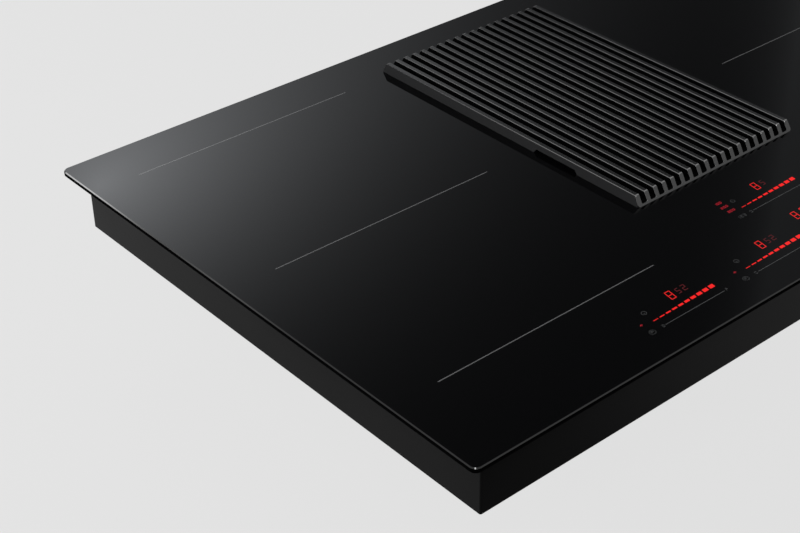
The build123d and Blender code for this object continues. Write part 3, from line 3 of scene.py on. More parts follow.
import bmesh
import bpy
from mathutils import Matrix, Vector


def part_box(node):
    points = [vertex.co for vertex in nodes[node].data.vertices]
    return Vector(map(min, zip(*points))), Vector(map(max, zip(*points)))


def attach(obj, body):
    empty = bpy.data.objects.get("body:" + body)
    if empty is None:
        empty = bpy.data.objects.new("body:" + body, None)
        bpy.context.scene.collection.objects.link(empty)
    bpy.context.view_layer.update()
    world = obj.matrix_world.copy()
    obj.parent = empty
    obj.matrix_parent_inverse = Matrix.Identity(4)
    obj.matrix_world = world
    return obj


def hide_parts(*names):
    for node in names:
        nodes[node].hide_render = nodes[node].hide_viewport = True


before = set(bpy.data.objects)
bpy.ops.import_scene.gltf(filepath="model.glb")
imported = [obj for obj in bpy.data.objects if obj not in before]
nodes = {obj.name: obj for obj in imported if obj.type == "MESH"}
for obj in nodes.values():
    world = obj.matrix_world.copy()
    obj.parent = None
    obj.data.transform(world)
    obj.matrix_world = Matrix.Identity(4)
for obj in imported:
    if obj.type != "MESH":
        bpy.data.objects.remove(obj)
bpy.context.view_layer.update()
MM = 0.001


# ---------------------------------------------------------------- lower fan housing
# The tub that holds the scroll and the drip drawer: black polypropylene, injection moulded, with a
# spark-eroded grain. Half-round ribs stiffen its walls, and the scroll stands on its floor.

def maths(operation, *terms):
    """One Math node, fed by wires and numbers."""
    tree = next(term.tree for term in terms if isinstance(term, Wire))
    node = tree.nodes.new("ShaderNodeMath")
    node.operation = operation
    for place, term in zip(node.inputs, terms):
        if isinstance(term, Wire):
            tree.links.new(term.socket, place)
        else:
            place.default_value = term
    return Wire(tree, node.outputs[0])


class Wire:
    """One output of a node. Sums of wires and numbers become Math nodes."""

    def __init__(self, tree, socket):
        self.tree = tree
        self.socket = socket

    def __add__(self, other):
        return maths("ADD", self, other)

    def __radd__(self, other):
        return maths("ADD", other, self)

    def __sub__(self, other):
        return maths("SUBTRACT", self, other)

    def __rsub__(self, other):
        return maths("SUBTRACT", other, self)

    def __mul__(self, other):
        return maths("MULTIPLY", self, other)

    def __rmul__(self, other):
        return maths("MULTIPLY", other, self)

    def __truediv__(self, other):
        return maths("DIVIDE", self, other)

    def __rtruediv__(self, other):
        return maths("DIVIDE", other, self)


class Bench:
    """A node tree in the making: any node but a Math node comes from its one method."""

    def __init__(self, tree):
        self.tree = tree

    def node(self, kind, settings=None, inputs=None, out=0):
        """Adds a node with its settings first, then its inputs, and gives one of its outputs."""
        made = self.tree.nodes.new(kind)
        for name, value in (settings or {}).items():
            if name == "stops":
                ramp = made.color_ramp
                while len(ramp.elements) < len(value):
                    ramp.elements.new(0.5)
                for stop, (position, colour) in zip(ramp.elements, value):
                    stop.position = position
                    stop.color = (*colour, 1.0)
            elif name == "steps":
                made.color_ramp.interpolation = value
            else:
                setattr(made, name, value)
        for name, value in (inputs or {}).items():
            place = made.inputs[name]
            for each in value if isinstance(value, list) else [value]:
                if isinstance(each, Wire):
                    self.tree.links.new(each.socket, place)
                elif place.type == "RGBA":
                    place.default_value = (*each, 1.0)
                else:
                    place.default_value = each
        return Wire(self.tree, made.outputs[out])


class Finish(Bench):
    """One material: a Principled shader and the nodes that feed it."""

    def __init__(self, name, colour, **fixed):
        self.material = bpy.data.materials.new(name)
        self.material.use_nodes = True
        super().__init__(self.material.node_tree)
        self.shader = self.tree.nodes["Principled BSDF"]
        self.at = self.node("ShaderNodeTexCoord", out="Object")
        self.set("Base Color", colour)
        sockets = {"specular": "Specular IOR Level", "ior": "IOR"}
        for socket, value in fixed.items():
            self.set(sockets.get(socket, socket.title()), value)

    def set(self, socket, value):
        """Sets or feeds one socket of the shader."""
        place = self.shader.inputs[socket]
        if isinstance(value, Wire):
            self.tree.links.new(value.socket, place)
        else:
            place.default_value = (*value, 1.0) if isinstance(value, tuple) else value
        return self

    def axes(self):
        """The place on the object, in metres, as three wires."""
        apart = self.node("ShaderNodeSeparateXYZ", inputs={"Vector": self.at})
        return [Wire(self.tree, socket) for socket in apart.socket.node.outputs]

    def noise(self, scale, detail=2.0, stretch=(1.0, 1.0, 1.0)):
        """Soft noise from 0 to 1, drawn out where stretch is small."""
        place = self.node("ShaderNodeMapping", inputs={"Vector": self.at, "Scale": stretch})
        return self.node("ShaderNodeTexNoise", inputs={"Vector": place, "Scale": scale, "Detail": detail})

    def mix(self, mask, low, high):
        """A colour that goes from low to high as the mask goes from 0 to 1."""
        return self.node("ShaderNodeMix", {"data_type": "RGBA"}, {0: mask, 6: low, 7: high}, out=2)

    def relief(self, height, strength, depth):
        """Raises the surface by height, which runs from 0 to 1, times depth in metres."""
        bump = self.node("ShaderNodeBump", inputs={
            "Height": height, "Strength": strength, "Distance": depth})
        return self.set("Normal", bump)

    def facing_up(self):
        """How far the surface faces up, from -1 to 1."""
        normal = self.node("ShaderNodeNewGeometry", out="True Normal")
        return self.node("ShaderNodeSeparateXYZ", inputs={"Vector": normal}, out="Z")

    def show_where(self, mask, other):
        """Keeps this finish where the mask is 1, and shows the other shader where it is 0."""
        this = Wire(self.tree, self.shader.outputs[0])
        both = self.node("ShaderNodeMixShader", inputs={0: mask, 1: other, 2: this})
        self.tree.links.new(both.socket, self.tree.nodes["Material Output"].inputs["Surface"])

    def paint(self, *names):
        """Puts this finish on CAD nodes, in place of their plain one."""
        for name in names:
            for place in nodes[name].material_slots:
                place.material = self.material


class Maker(Bench):
    """A Geometry Nodes tree with named inputs, which is run once and gives a plain mesh."""

    def __init__(self, name, **given):
        super().__init__(bpy.data.node_groups.new(name, "GeometryNodeTree"))
        self.given = given
        self.tree.interface.new_socket("Geometry", in_out="OUTPUT", socket_type="NodeSocketGeometry")
        kinds = {float: "NodeSocketFloat", int: "NodeSocketInt"}
        for label, value in given.items():
            kind = kinds.get(type(value), "NodeSocketMaterial")
            self.tree.interface.new_socket(label, in_out="INPUT", socket_type=kind)
        self.entry = self.tree.nodes.new("NodeGroupInput")

    def __getitem__(self, label):
        return Wire(self.tree, self.entry.outputs[label])

    def vector(self, x=0.0, y=0.0, z=0.0):
        """A vector from three wires or numbers."""
        return self.node("ShaderNodeCombineXYZ", inputs={"X": x, "Y": y, "Z": z})

    def place(self):
        """Where each point is, as three wires."""
        position = self.node("GeometryNodeInputPosition")
        apart = self.node("ShaderNodeSeparateXYZ", inputs={"Vector": position})
        return [Wire(self.tree, socket) for socket in apart.socket.node.outputs]

    def row(self, count, start, step):
        """A row of points, the first at start."""
        return self.node("GeometryNodeMeshLine", inputs={
            "Count": count, "Start Location": start, "Offset": step})

    def at_each(self, points, piece):
        """A copy of the piece at each point."""
        copies = self.node("GeometryNodeInstanceOnPoints", inputs={"Points": points, "Instance": piece})
        return self.node("GeometryNodeRealizeInstances", inputs={"Geometry": copies})

    def together(self, parts):
        """All the parts as one."""
        return self.node("GeometryNodeJoinGeometry", inputs={"Geometry": parts})

    def rod(self, path, radius, sides):
        """A round rod along a curve."""
        outline = self.node("GeometryNodeCurvePrimitiveCircle", inputs={
            "Resolution": sides, "Radius": radius})
        return self.node("GeometryNodeCurveToMesh", inputs={
            "Curve": path, "Profile Curve": outline, "Fill Caps": True})

    def bake(self, name, geometry, material_input, body, slot):
        """Runs the tree, and makes its result a piece that rides on the body."""
        solid = self.node("GeometryNodeRealizeInstances", inputs={"Geometry": geometry})
        dressed = self.node("GeometryNodeSetMaterial", inputs={
            "Geometry": solid, "Material": self[material_input]})
        leave = self.tree.nodes.new("NodeGroupOutput")
        self.tree.links.new(dressed.socket, leave.inputs["Geometry"])
        holder = bpy.data.objects.new(name + "_maker", bpy.data.meshes.new(name + "_maker"))
        bpy.context.scene.collection.objects.link(holder)
        modifier = holder.modifiers.new("maker", "NODES")
        modifier.node_group = self.tree
        for item in self.tree.interface.items_tree:
            if item.in_out == "INPUT":
                modifier[item.identifier] = self.given[item.name]
        bpy.context.view_layer.update()
        done = holder.evaluated_get(bpy.context.evaluated_depsgraph_get())
        piece = bpy.data.objects.new(name, bpy.data.meshes.new_from_object(done))
        bpy.data.objects.remove(holder)
        bpy.context.scene.collection.objects.link(piece)
        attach(piece, body)
        return piece


def tinted(colour, factor):
    """The colour made lighter or darker by a factor."""
    return tuple(min(1.0, channel * factor) for channel in colour)


def moulded(name, colour, dull=0.5, shine=0.4):
    """Moulded plastic: an eroded grain, duller in its pits, and cloudy flow marks."""
    plastic = Finish(name, colour, specular=shine)
    grain = plastic.node("ShaderNodeTexVoronoi", inputs={"Vector": plastic.at, "Scale": 850.0})
    flow = plastic.noise(scale=7.0, detail=4.0)
    plastic.set("Roughness", grain * 0.18 + dull)
    plastic.set("Base Color", plastic.mix(flow, colour, tinted(colour, 1.45)))
    return plastic.relief(grain, strength=0.35, depth=0.00015)


housing_black = moulded("black_moulding", (0.019, 0.019, 0.02))
housing_black.paint("lower_housing", "fan_scroll")

RIB_R, RIB_PITCH, RIB_SIDES = 1.3, 20.0, 12
WALL_LEFT, WALL_RIGHT, WALL_FRONT, WALL_BACK = -92.45, 333.35, -100.2, 211.2
SIDE_RIB_ROWS = [(WALL_LEFT, -84.5, "y", 15), (WALL_RIGHT, -84.5, "y", 15)]
TUB_RIB_FOOT, TUB_RIB_HEAD, DRAWER_RIB_FOOT = 5.0, 104.0, 41.0


def wall_ribs(name, rows, foot, head):
    """Half-round ribs up the housing's walls. A row is its first rib's x and y, its way and its count."""
    ribs = Maker(name + "_tree", Rib_Radius=RIB_R * MM, Rib_Height=(head - foot) * MM,
                 Pitch=RIB_PITCH * MM, Plastic=housing_black.material)
    upright = ribs.node("GeometryNodeCurvePrimitiveLine", inputs={
        "End": ribs.vector(z=ribs["Rib_Height"])})
    rib = ribs.rod(upright, ribs["Rib_Radius"], RIB_SIDES)
    made = []
    for x, y, way, count in rows:
        step = ribs.vector(x=ribs["Pitch"]) if way == "x" else ribs.vector(y=ribs["Pitch"])
        made.append(ribs.at_each(ribs.row(count, (x * MM, y * MM, foot * MM), step), rib))
    ribs.bake(name, ribs.together(made), "Plastic", "hob", "plastic_black")


tub_rib_rows = SIDE_RIB_ROWS + [(100.0, WALL_FRONT, "x", 12), (-75.0, WALL_BACK, "x", 8)]
wall_ribs("lower_housing_ribs", tub_rib_rows, foot=TUB_RIB_FOOT, head=TUB_RIB_HEAD)
wall_ribs("drawer_wall_ribs", [(-75.0, WALL_FRONT, "x", 8)], foot=DRAWER_RIB_FOOT, head=TUB_RIB_HEAD)


# ---------------------------------------------------------------- motor
# An outer-rotor fan motor on a zinc-plated plate, held off the housing floor by three soft rubber
# bushes. Its stator is a stack of varnished steel sheets; the shaft is ground steel.

def rolled(name, colour, dull, along=(1.0, 40.0, 1.0), scale=60.0):
    """Rolled, drawn or plated metal: streaks along one way, which change its gloss."""
    metal = Finish(name, colour, metallic=1.0)
    streaks = metal.noise(scale=scale, detail=4.0, stretch=along)
    metal.set("Roughness", streaks * 0.2 + dull)
    metal.set("Base Color", metal.mix(streaks, tinted(colour, 0.78), colour))
    return metal.relief(streaks, strength=0.15, depth=0.0001)


def soft_rubber(name, colour, pore_scale, dull):
    """Rubber or foam: pores of one size in a dull skin."""
    rubber = Finish(name, colour, specular=0.03)
    pores = rubber.noise(scale=pore_scale, detail=2.0)
    rubber.set("Roughness", pores * 0.12 + dull)
    rubber.set("Base Color", rubber.mix(pores, tinted(colour, 0.6), colour))
    return rubber.relief(pores, strength=0.5, depth=0.0003)


zinc = rolled("zinc_plate", (0.55, 0.56, 0.58), dull=0.25, along=(1.0, 1.0, 1.0), scale=25.0)
zinc.paint("motor_mount_plate", "motor_can", "motor_bearings")
rolled("ground_shaft", (0.62, 0.62, 0.63), dull=0.12, along=(1.0, 1.0, 60.0)).paint("motor_shaft")
soft_rubber("bush_rubber", (0.02, 0.02, 0.02), pore_scale=900.0, dull=0.7).paint("motor_bushes")

SHEET_THICK = 0.5

stack = Finish("varnished_steel_stack", (0.2, 0.19, 0.18), metallic=1.0)
height = stack.axes()[2]
sheet_edge = maths("PINGPONG", height / (SHEET_THICK * MM), 0.5) * 2.0
stack.set("Roughness", sheet_edge * -0.2 + 0.55)
stack.set("Base Color", stack.mix(sheet_edge, (0.05, 0.045, 0.04), (0.24, 0.22, 0.2)))
stack.relief(sheet_edge, strength=0.4, depth=0.0001)
stack.paint("motor_stator", "motor_rotor")


# ---------------------------------------------------------------- fan wheel
# The single-inlet wheel with forward-leaning blades, moulded in one shot in grey glass-filled nylon:
# a little mottled, because the fibres come to the surface.

moulded("glass_filled_nylon", (0.085, 0.087, 0.092), dull=0.45).paint("fan_wheel")


# ---------------------------------------------------------------- scroll lid and air inlet
# The deck closes the scroll, and the inlet ring, clipped into it, leads the air into the wheel. Both are
# moulded in the black plastic of the housing.

housing_black.paint("fan_deck", "inlet_ring")


# ---------------------------------------------------------------- outlet
# The flat-duct collar screwed to the back wall, with three thin flaps that hang on drawn steel pins
# and fall shut when the fan stops.

housing_black.paint("outlet_collar")
moulded("flap_plastic", (0.03, 0.03, 0.032), dull=0.38).paint("flap_top", "flap_middle", "flap_bottom")
rolled("drawn_steel_pin", (0.6, 0.6, 0.62), dull=0.2, along=(40.0, 1.0, 1.0)).paint("flap_pins")


# ---------------------------------------------------------------- upper fan housing
# The lid of the housing, in the same black plastic, screwed to the tub through their flanges. Its
# ribs stand over those of the tub.

LID_RIB_FOOT, LID_RIB_HEAD = 112.0, 161.0

housing_black.paint("upper_housing")
lid_rib_rows = SIDE_RIB_ROWS + [(-80.0, WALL_FRONT, "x", 21), (-80.0, WALL_BACK, "x", 21)]
wall_ribs("upper_housing_ribs", lid_rib_rows, foot=LID_RIB_FOOT, head=LID_RIB_HEAD)


# ---------------------------------------------------------------- base pan
# The shallow pan under the glass, folded from sheet steel and powder-coated black with a low sheen: a
# fine orange peel, slightly cloudy where it was handled.

PAN_BLACK, PAN_DULL, PAN_SHINE = (0.0016, 0.0016, 0.0017), 0.38, 0.056

pan_coat = Finish("pan_powder_coat", PAN_BLACK, specular=PAN_SHINE)
handled = pan_coat.noise(scale=9.0, detail=4.0)
pan_coat.set("Roughness", handled * 0.12 + PAN_DULL)
pan_coat.set("Base Color", pan_coat.mix(handled, PAN_BLACK, tinted(PAN_BLACK, 1.3)))
orange_peel = pan_coat.noise(scale=420.0, detail=3.0)
pan_coat.relief(orange_peel, strength=0.25, depth=0.0002)
pan_coat.paint("base_pan")


# ---------------------------------------------------------------- well and drip drawer
# The well under the opening, black polypropylene with a soft seal on its flange, and the grey drawer
# below it that catches what is spilt.

housing_black.paint("intake_well")
soft_rubber("well_seal_rubber", (0.012, 0.012, 0.012), pore_scale=1100.0, dull=0.75).paint("well_seal")
moulded("drawer_grey", (0.075, 0.077, 0.08), dull=0.42).paint("drip_drawer")


# ---------------------------------------------------------------- mains side
# A nylon gland with its nut in the back wall, a grey moulded terminal block and the small green board
# that filters the mains.

MASK_GREEN, TRACK_LIGHTER = (0.012, 0.085, 0.035), 1.9
TRACKS_PER_METRE, TRACK_BEND, TRACK_FROM = 420.0, 3.0, 0.62
PART_SCALE, BOARD_SKIN = 34.0, 0.15
PART_SHADES = [(0.0, (0.012, 0.012, 0.013)), (0.4, (0.05, 0.05, 0.055)), (0.6, (0.42, 0.3, 0.05)),
               (0.75, (0.02, 0.03, 0.09)), (0.88, (0.45, 0.45, 0.46))]


def populated(name, board_top):
    """A circuit board: green solder mask with fine tracks, and parts of many colours that stand on it."""
    board = Finish(name, MASK_GREEN, specular=0.5)
    x, _, z = board.axes()
    wandering = x * TRACKS_PER_METRE + board.noise(scale=40.0, detail=0.0) * TRACK_BEND
    tracks = maths("PINGPONG", wandering, 0.5) * 2.0
    on_track = maths("GREATER_THAN", tracks, TRACK_FROM)
    mask = board.mix(on_track, MASK_GREEN, tinted(MASK_GREEN, TRACK_LIGHTER))
    cell = board.node("ShaderNodeTexVoronoi", {"distance": "CHEBYCHEV"},
                      {"Vector": board.at, "Scale": PART_SCALE}, out="Color")
    parts = board.node("ShaderNodeValToRGB", {"steps": "CONSTANT", "stops": PART_SHADES}, {"Fac": cell})
    on_top = maths("GREATER_THAN", z, (board_top + BOARD_SKIN) * MM)
    board.set("Base Color", board.mix(on_top, mask, parts))
    board.set("Roughness", on_top * 0.15 + board.noise(scale=90.0, detail=2.0) * 0.15 + 0.25)
    return board.relief(tracks, strength=0.2, depth=0.00008)


FILTER_BOARD_TOP = 165.8

moulded("gland_nylon", (0.02, 0.02, 0.021), dull=0.35).paint("cable_gland")
moulded("terminal_block_grey", (0.3, 0.3, 0.29), dull=0.45).paint("terminal_block")
populated("filter_board_green", FILTER_BOARD_TOP).paint("filter_board")


# ---------------------------------------------------------------- power boards and coolers
# One board for each pair of coils, on white standoffs, with an extruded heat sink over its switches
# and a small cooler behind it that blows along the fins.

def plain_grain(name, colour, scale, dull, depth):
    """An even material with a grain of its own size."""
    stuff = Finish(name, colour)
    grain = stuff.noise(scale=scale, detail=4.0)
    stuff.set("Roughness", grain * 0.2 + dull)
    stuff.set("Base Color", stuff.mix(grain, tinted(colour, 0.7), colour))
    return stuff.relief(grain, strength=0.3, depth=depth)


POWER_BOARD_TOP = 171.8

populated("power_board_green", POWER_BOARD_TOP).paint("power_board_left", "power_board_right")
plain_grain("white_polyamide", (0.75, 0.75, 0.72), scale=300.0, dull=0.4, depth=0.0001).paint(
    "board_standoffs")
rolled("extruded_aluminium", (0.72, 0.73, 0.75), dull=0.28, along=(1.0, 60.0, 1.0)).paint("heat_sinks")
moulded("cooler_black", (0.016, 0.016, 0.017), dull=0.4).paint("cooler_case_left", "cooler_case_right")
moulded("cooler_rotor_grey", (0.05, 0.05, 0.053), dull=0.38).paint(
    "cooler_rotor_left", "cooler_rotor_right")


# ---------------------------------------------------------------- coils
# Two aluminium carriers on posts, each with ferrite bars under two coils wound from twisted enamelled
# copper. Mica and a fibre blanket part them from the glass, and a sensor sits in each coil's eye.

COIL_X, COIL_MIDDLE_Y, COIL_STEP_Y = 260.0, 18.2, 94.5
COIL_ARC, COIL_HALF_W, COIL_HALF_D = 58.0, 103.0, 87.5
TURN_PITCH = 3.1

rolled("mill_aluminium", (0.74, 0.75, 0.77), dull=0.32, along=(50.0, 1.0, 1.0)).paint(
    "coil_carrier_left", "coil_carrier_right", "carrier_posts")
plain_grain("ferrite", (0.03, 0.03, 0.033), scale=900.0, dull=0.5, depth=0.0001).paint("ferrite_bars")

winding = Finish("enamelled_litz", (0.5, 0.2, 0.08), metallic=1.0)
x, y, _ = winding.axes()
from_row = maths("ABSOLUTE", y - COIL_MIDDLE_Y * MM)
out_x = maths("ABSOLUTE", maths("ABSOLUTE", x) - COIL_X * MM) - (COIL_HALF_W - COIL_ARC) * MM
out_y = maths("ABSOLUTE", from_row - COIL_STEP_Y * MM) - (COIL_HALF_D - COIL_ARC) * MM
corner_x, corner_y = maths("MAXIMUM", out_x, 0.0), maths("MAXIMUM", out_y, 0.0)
past_arc = maths("SQRT", corner_x * corner_x + corner_y * corner_y)
outward = past_arc + maths("MINIMUM", maths("MAXIMUM", out_x, out_y), 0.0)
turns = maths("PINGPONG", outward / (TURN_PITCH * MM), 0.5) * 2.0
twist = winding.noise(scale=900.0, detail=2.0)
winding.set("Base Color", winding.mix(turns, (0.1, 0.035, 0.015), (0.6, 0.26, 0.11)))
winding.set("Roughness", twist * 0.2 + 0.28)
winding.relief(turns + twist * 0.3, strength=0.6, depth=0.0006)
winding.paint("coil_front_left", "coil_back_left", "coil_front_right", "coil_back_right")

plain_grain("mica", (0.7, 0.62, 0.43), scale=120.0, dull=0.5, depth=0.0001).paint("mica_sheets")
plain_grain("fibre_felt", (0.8, 0.8, 0.77), scale=500.0, dull=0.8, depth=0.0006).paint(
    "insulation_blankets")
plain_grain("sensor_ceramic", (0.74, 0.73, 0.68), scale=250.0, dull=0.45, depth=0.0001).paint(
    "coil_sensors")
plain_grain("silicone_sleeve", (0.4, 0.05, 0.03), scale=400.0, dull=0.5, depth=0.0002).paint("coil_leads")


# ---------------------------------------------------------------- touch controls
# The touch board in its black holder behind the front edge, with white light guides over its lamps,
# a coil spring under each of six fields and a flat ribbon to the power board.

TOUCH_BOARD_TOP, SPRING_HEAD = 209.6, 216.0
SPRING_X, SPRING_Y = (24.0, 132.0, 190.0), -195.5
SPRING_R, SPRING_WIRE_R, SPRING_TURNS = 4.0, 0.35, 4.5
POINTS_PER_TURN, SPRING_WIRE_SIDES = 20, 8
RIBBON_CORE = 1.27

moulded("holder_black", (0.017, 0.017, 0.018), dull=0.48).paint("touch_holder")
populated("touch_board_green", TOUCH_BOARD_TOP).paint("touch_board")
plain_grain("milky_guide", (0.78, 0.78, 0.76), scale=300.0, dull=0.35, depth=0.00005).paint(
    "display_guides")

spring_rise = SPRING_HEAD - TOUCH_BOARD_TOP - 2 * SPRING_WIRE_R
coiled = Maker("touch_spring_tree", Turns=SPRING_TURNS, Spring_Radius=(SPRING_R - SPRING_WIRE_R) * MM,
               Rise=spring_rise * MM, Wire_Radius=SPRING_WIRE_R * MM,
               Steel=rolled("spring_steel", (0.58, 0.58, 0.6), dull=0.22, along=(1.0, 1.0, 1.0)).material)
helix = coiled.node("GeometryNodeCurveSpiral", inputs={
    "Resolution": POINTS_PER_TURN, "Rotations": coiled["Turns"], "Start Radius": coiled["Spring_Radius"],
    "End Radius": coiled["Spring_Radius"], "Height": coiled["Rise"]})
spring = coiled.rod(helix, coiled["Wire_Radius"], SPRING_WIRE_SIDES)
spring_foot = (TOUCH_BOARD_TOP + SPRING_WIRE_R) * MM
pairs = []
for x in SPRING_X:
    two_feet = coiled.row(2, (-x * MM, SPRING_Y * MM, spring_foot), (2 * x * MM, 0.0, 0.0))
    pairs.append(coiled.at_each(two_feet, spring))
springs = coiled.bake("touch_spring_coils", coiled.together(pairs), "Steel", "hob", "steel_bright")
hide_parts("touch_springs")

ribbon = Finish("ribbon_film", (0.5, 0.5, 0.52), specular=0.4)
core = maths("PINGPONG", ribbon.axes()[0] / (RIBBON_CORE * MM), 0.5) * 2.0
ribbon.set("Base Color", ribbon.mix(core, (0.22, 0.22, 0.24), (0.58, 0.58, 0.6)))
ribbon.set("Roughness", ribbon.noise(scale=200.0, detail=2.0) * 0.15 + 0.35)
ribbon.relief(core, strength=0.6, depth=0.0004)
ribbon.paint("ribbon_cable")


# ---------------------------------------------------------------- glass
# The ceramic glass plate: black all through, polished on top and on the bevel round its top edge, and
# ground dull on its upright edge. It is bonded to the pan, with a foam strip under its rim.

GLASS_BLACK = (0.0012, 0.0012, 0.0014)
GROUND_DARK, GROUND_PALE = (0.0006, 0.0006, 0.0006), (0.0022, 0.0022, 0.0024)
EDGE_DULL_BELOW = 0.35

glass = Finish("black_ceramic_glass", GLASS_BLACK, ior=1.5)
wiped = glass.noise(scale=5.0, detail=5.0, stretch=(1.0, 3.0, 1.0))
glass.set("Roughness", wiped * 0.03 + 0.025)
ground = glass.mix(glass.noise(scale=1500.0, detail=2.0), GROUND_DARK, GROUND_PALE)
dull_edge = glass.node("ShaderNodeBsdfPrincipled", inputs={
    "Base Color": ground, "Roughness": 0.6, "Specular IOR Level": 0.0})
polished = maths("GREATER_THAN", maths("ABSOLUTE", glass.facing_up()), EDGE_DULL_BELOW)
glass.show_where(polished, dull_edge)
glass.paint("glass_top")

soft_rubber("closed_cell_foam", (0.004, 0.004, 0.004), pore_scale=1400.0, dull=0.8).paint("worktop_seal")
soft_rubber("silicone_bond", (0.01, 0.01, 0.01), pore_scale=500.0, dull=0.5).paint("glass_bond")


# ---------------------------------------------------------------- printed marks
# Zone lines, slider lines and key marks, screened onto the glass in thin grey enamel and fired. Each is
# a plate a few hundredths of a millimetre proud of it.

INK_GAP, INK_THICK = 0.01, 0.03
INK_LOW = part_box("glass_top")[1].z + INK_GAP * MM
INK_HIGH = INK_LOW + INK_THICK * MM

ZONE_LINE_W, SLIDER_LINE_W, MARK_W = 0.85, 0.42, 0.28
ZONE_LINE_Y = (-170.8, 17.5, 207.0)
ZONE_LINE_X = (150.6, 370.2)

INNER_ZONE_X, OUTER_ZONE_X = 66.3, 170.7
ZONE_ROW_Y, FAN_ROW_Y = -221.2, -161.3
SLIDER_DROP = 8.6
SLANT, LINE_TIP = 0.16, 1.6

SEGMENTS = {
    "a": ((-1, 2), (1, 2)), "b": ((1, 2), (1, 0)), "c": ((1, 0), (1, -2)), "d": ((-1, -2), (1, -2)),
    "e": ((-1, 0), (-1, -2)), "f": ((-1, 2), (-1, 0)), "g": ((-1, 0), (1, 0)),
}
FIGURES = {"0": "abcdef", "1": "bc", "2": "abged", "3": "abgcd", "5": "afgcd", "8": "abcdefg"}


def figure(sign, x, y, w, h, nip=0.0):
    """The strokes of a leaning seven-bar figure centred on x, y, each shortened by nip at both ends."""
    strokes = []
    for bar in FIGURES[sign]:
        ends = [Vector((x + px * w / 2 + py * h / 4 * SLANT, y + py * h / 4)) for px, py in SEGMENTS[bar]]
        inward = (ends[1] - ends[0]).normalized() * nip
        strokes.append([ends[0] + inward, ends[1] - inward])
    return strokes


def number(text, x, y, w, h, pitch):
    """A row of figures centred on x, y."""
    first = x - pitch * (len(text) - 1) / 2
    return [stroke for place, sign in enumerate(text)
            for stroke in figure(sign, first + place * pitch, y, w, h)]


def ring(x, y, rx, ry, count=18):
    """A closed oval as a chain of points."""
    turns = [n * 2 * math.pi / count for n in range(count + 1)]
    return [(x + rx * math.cos(turn), y + ry * math.sin(turn)) for turn in turns]


def moved(strokes, x, y):
    """The same strokes, moved by x, y."""
    return [[(px + x, py + y) for px, py in chain] for chain in strokes]


def printed(name, strokes, width, material):
    """Thin plates along chains of points, in millimetres, on top of the glass."""
    mesh = bmesh.new()
    half = width / 2
    for chain in strokes:
        for start, end in zip(chain, chain[1:]):
            a, b = Vector(start), Vector(end)
            along = (b - a).normalized() * half
            aside = Vector((-along.y, along.x))
            corners = [a - along + aside, a - along * LINE_TIP, a - along - aside,
                       b + along - aside, b + along * LINE_TIP, b + along + aside]
            low = [mesh.verts.new((c.x * MM, c.y * MM, INK_LOW)) for c in corners]
            high = [mesh.verts.new((c.x * MM, c.y * MM, INK_HIGH)) for c in corners]
            mesh.faces.new(high)
            mesh.faces.new(low[::-1])
            for n in range(len(corners)):
                after = (n + 1) % len(corners)
                mesh.faces.new((low[n], low[after], high[after], high[n]))
    data = bpy.data.meshes.new(name)
    bmesh.ops.recalc_face_normals(mesh, faces=mesh.faces)
    mesh.to_mesh(data)
    mesh.free()
    data.materials.append(material)
    piece = bpy.data.objects.new(name, data)
    bpy.context.scene.collection.objects.link(piece)
    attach(piece, "hob")


def enamel(name, grey):
    """Fired enamel ink, as glossy as the glass, with the grain of the screen it came through."""
    ink = Finish(name, grey, ior=1.5)
    grain = ink.noise(scale=2600.0, detail=1.0)
    ink.set("Roughness", grain * 0.04 + 0.04)
    ink.set("Base Color", ink.mix(grain, tinted(grey, 0.75), grey))
    return ink.material


# In millimetres from the middle of a slider line: the line with its tick, its nought, the sign at its
# end, the key to its left in a zone's group and the three steps there in the fan's.
SLIDER_LINE = [[(-30.3, 0.0), (34.4, 0.0)], [(2.0, -0.5), (2.0, 0.5)]]
SLIDER_SIGNS = figure("0", -33.0, 0.0, 1.5, 2.8) + [
    [(36.6, -0.8), (38.2, 1.6)], [(37.0, 1.4), (38.4, 0.2)]]
ZONE_KEY = [ring(-44.8, 0.0, 2.9, 2.4), [(-46.2, 0.0), (-43.4, 0.0)], [(-46.0, 1.0), (-43.6, 1.0)]]
FAN_STEPS = number("123", -44.7, 0.0, 1.9, 2.9, 3.6)
# In millimetres from the middle of a level row: the round key above its left end.
ZONE_TIMER_KEY = [ring(-32.0, 11.7, 2.3, 2.2, 8), [(-32.8, 11.2), (-31.4, 11.2)]]
FAN_TIMER_KEY = [ring(-32.2, 11.5, 2.2, 1.9, 12), [(-32.9, 11.5), (-31.5, 11.5)]]

groups = [(side * x, ZONE_ROW_Y) for side in (-1, 1) for x in (INNER_ZONE_X, OUTER_ZONE_X)]
groups.append((0.0, FAN_ROW_Y))
sliders, marks = [], []
for x, y in groups:
    line_y = y - SLIDER_DROP
    sliders += moved(SLIDER_LINE, x, line_y)
    marks += moved(SLIDER_SIGNS, x, line_y)
    if y == ZONE_ROW_Y:
        marks += moved(ZONE_KEY, x, line_y) + moved(ZONE_TIMER_KEY, x, y)
    else:
        marks += moved(FAN_TIMER_KEY, x, y) + moved(FAN_STEPS, x, line_y)

inner_end, outer_end = ZONE_LINE_X
zone_lines = [[(side * inner_end, y), (side * outer_end, y)] for side in (-1, 1) for y in ZONE_LINE_Y]
printed("zone_lines", zone_lines, ZONE_LINE_W, enamel("zone_line_ink", (0.15, 0.15, 0.153)))
mark_ink = enamel("mark_ink", (0.12, 0.123, 0.125))
printed("slider_lines", sliders, SLIDER_LINE_W, mark_ink)
printed("key_marks", marks, MARK_W, mark_ink)


# ---------------------------------------------------------------- lit displays
# Red bars and figures that shine up through the glass from the lamps of the touch board. A level row
# has ten bars on one base line, each taller than the one before; the figures lean like the bars.

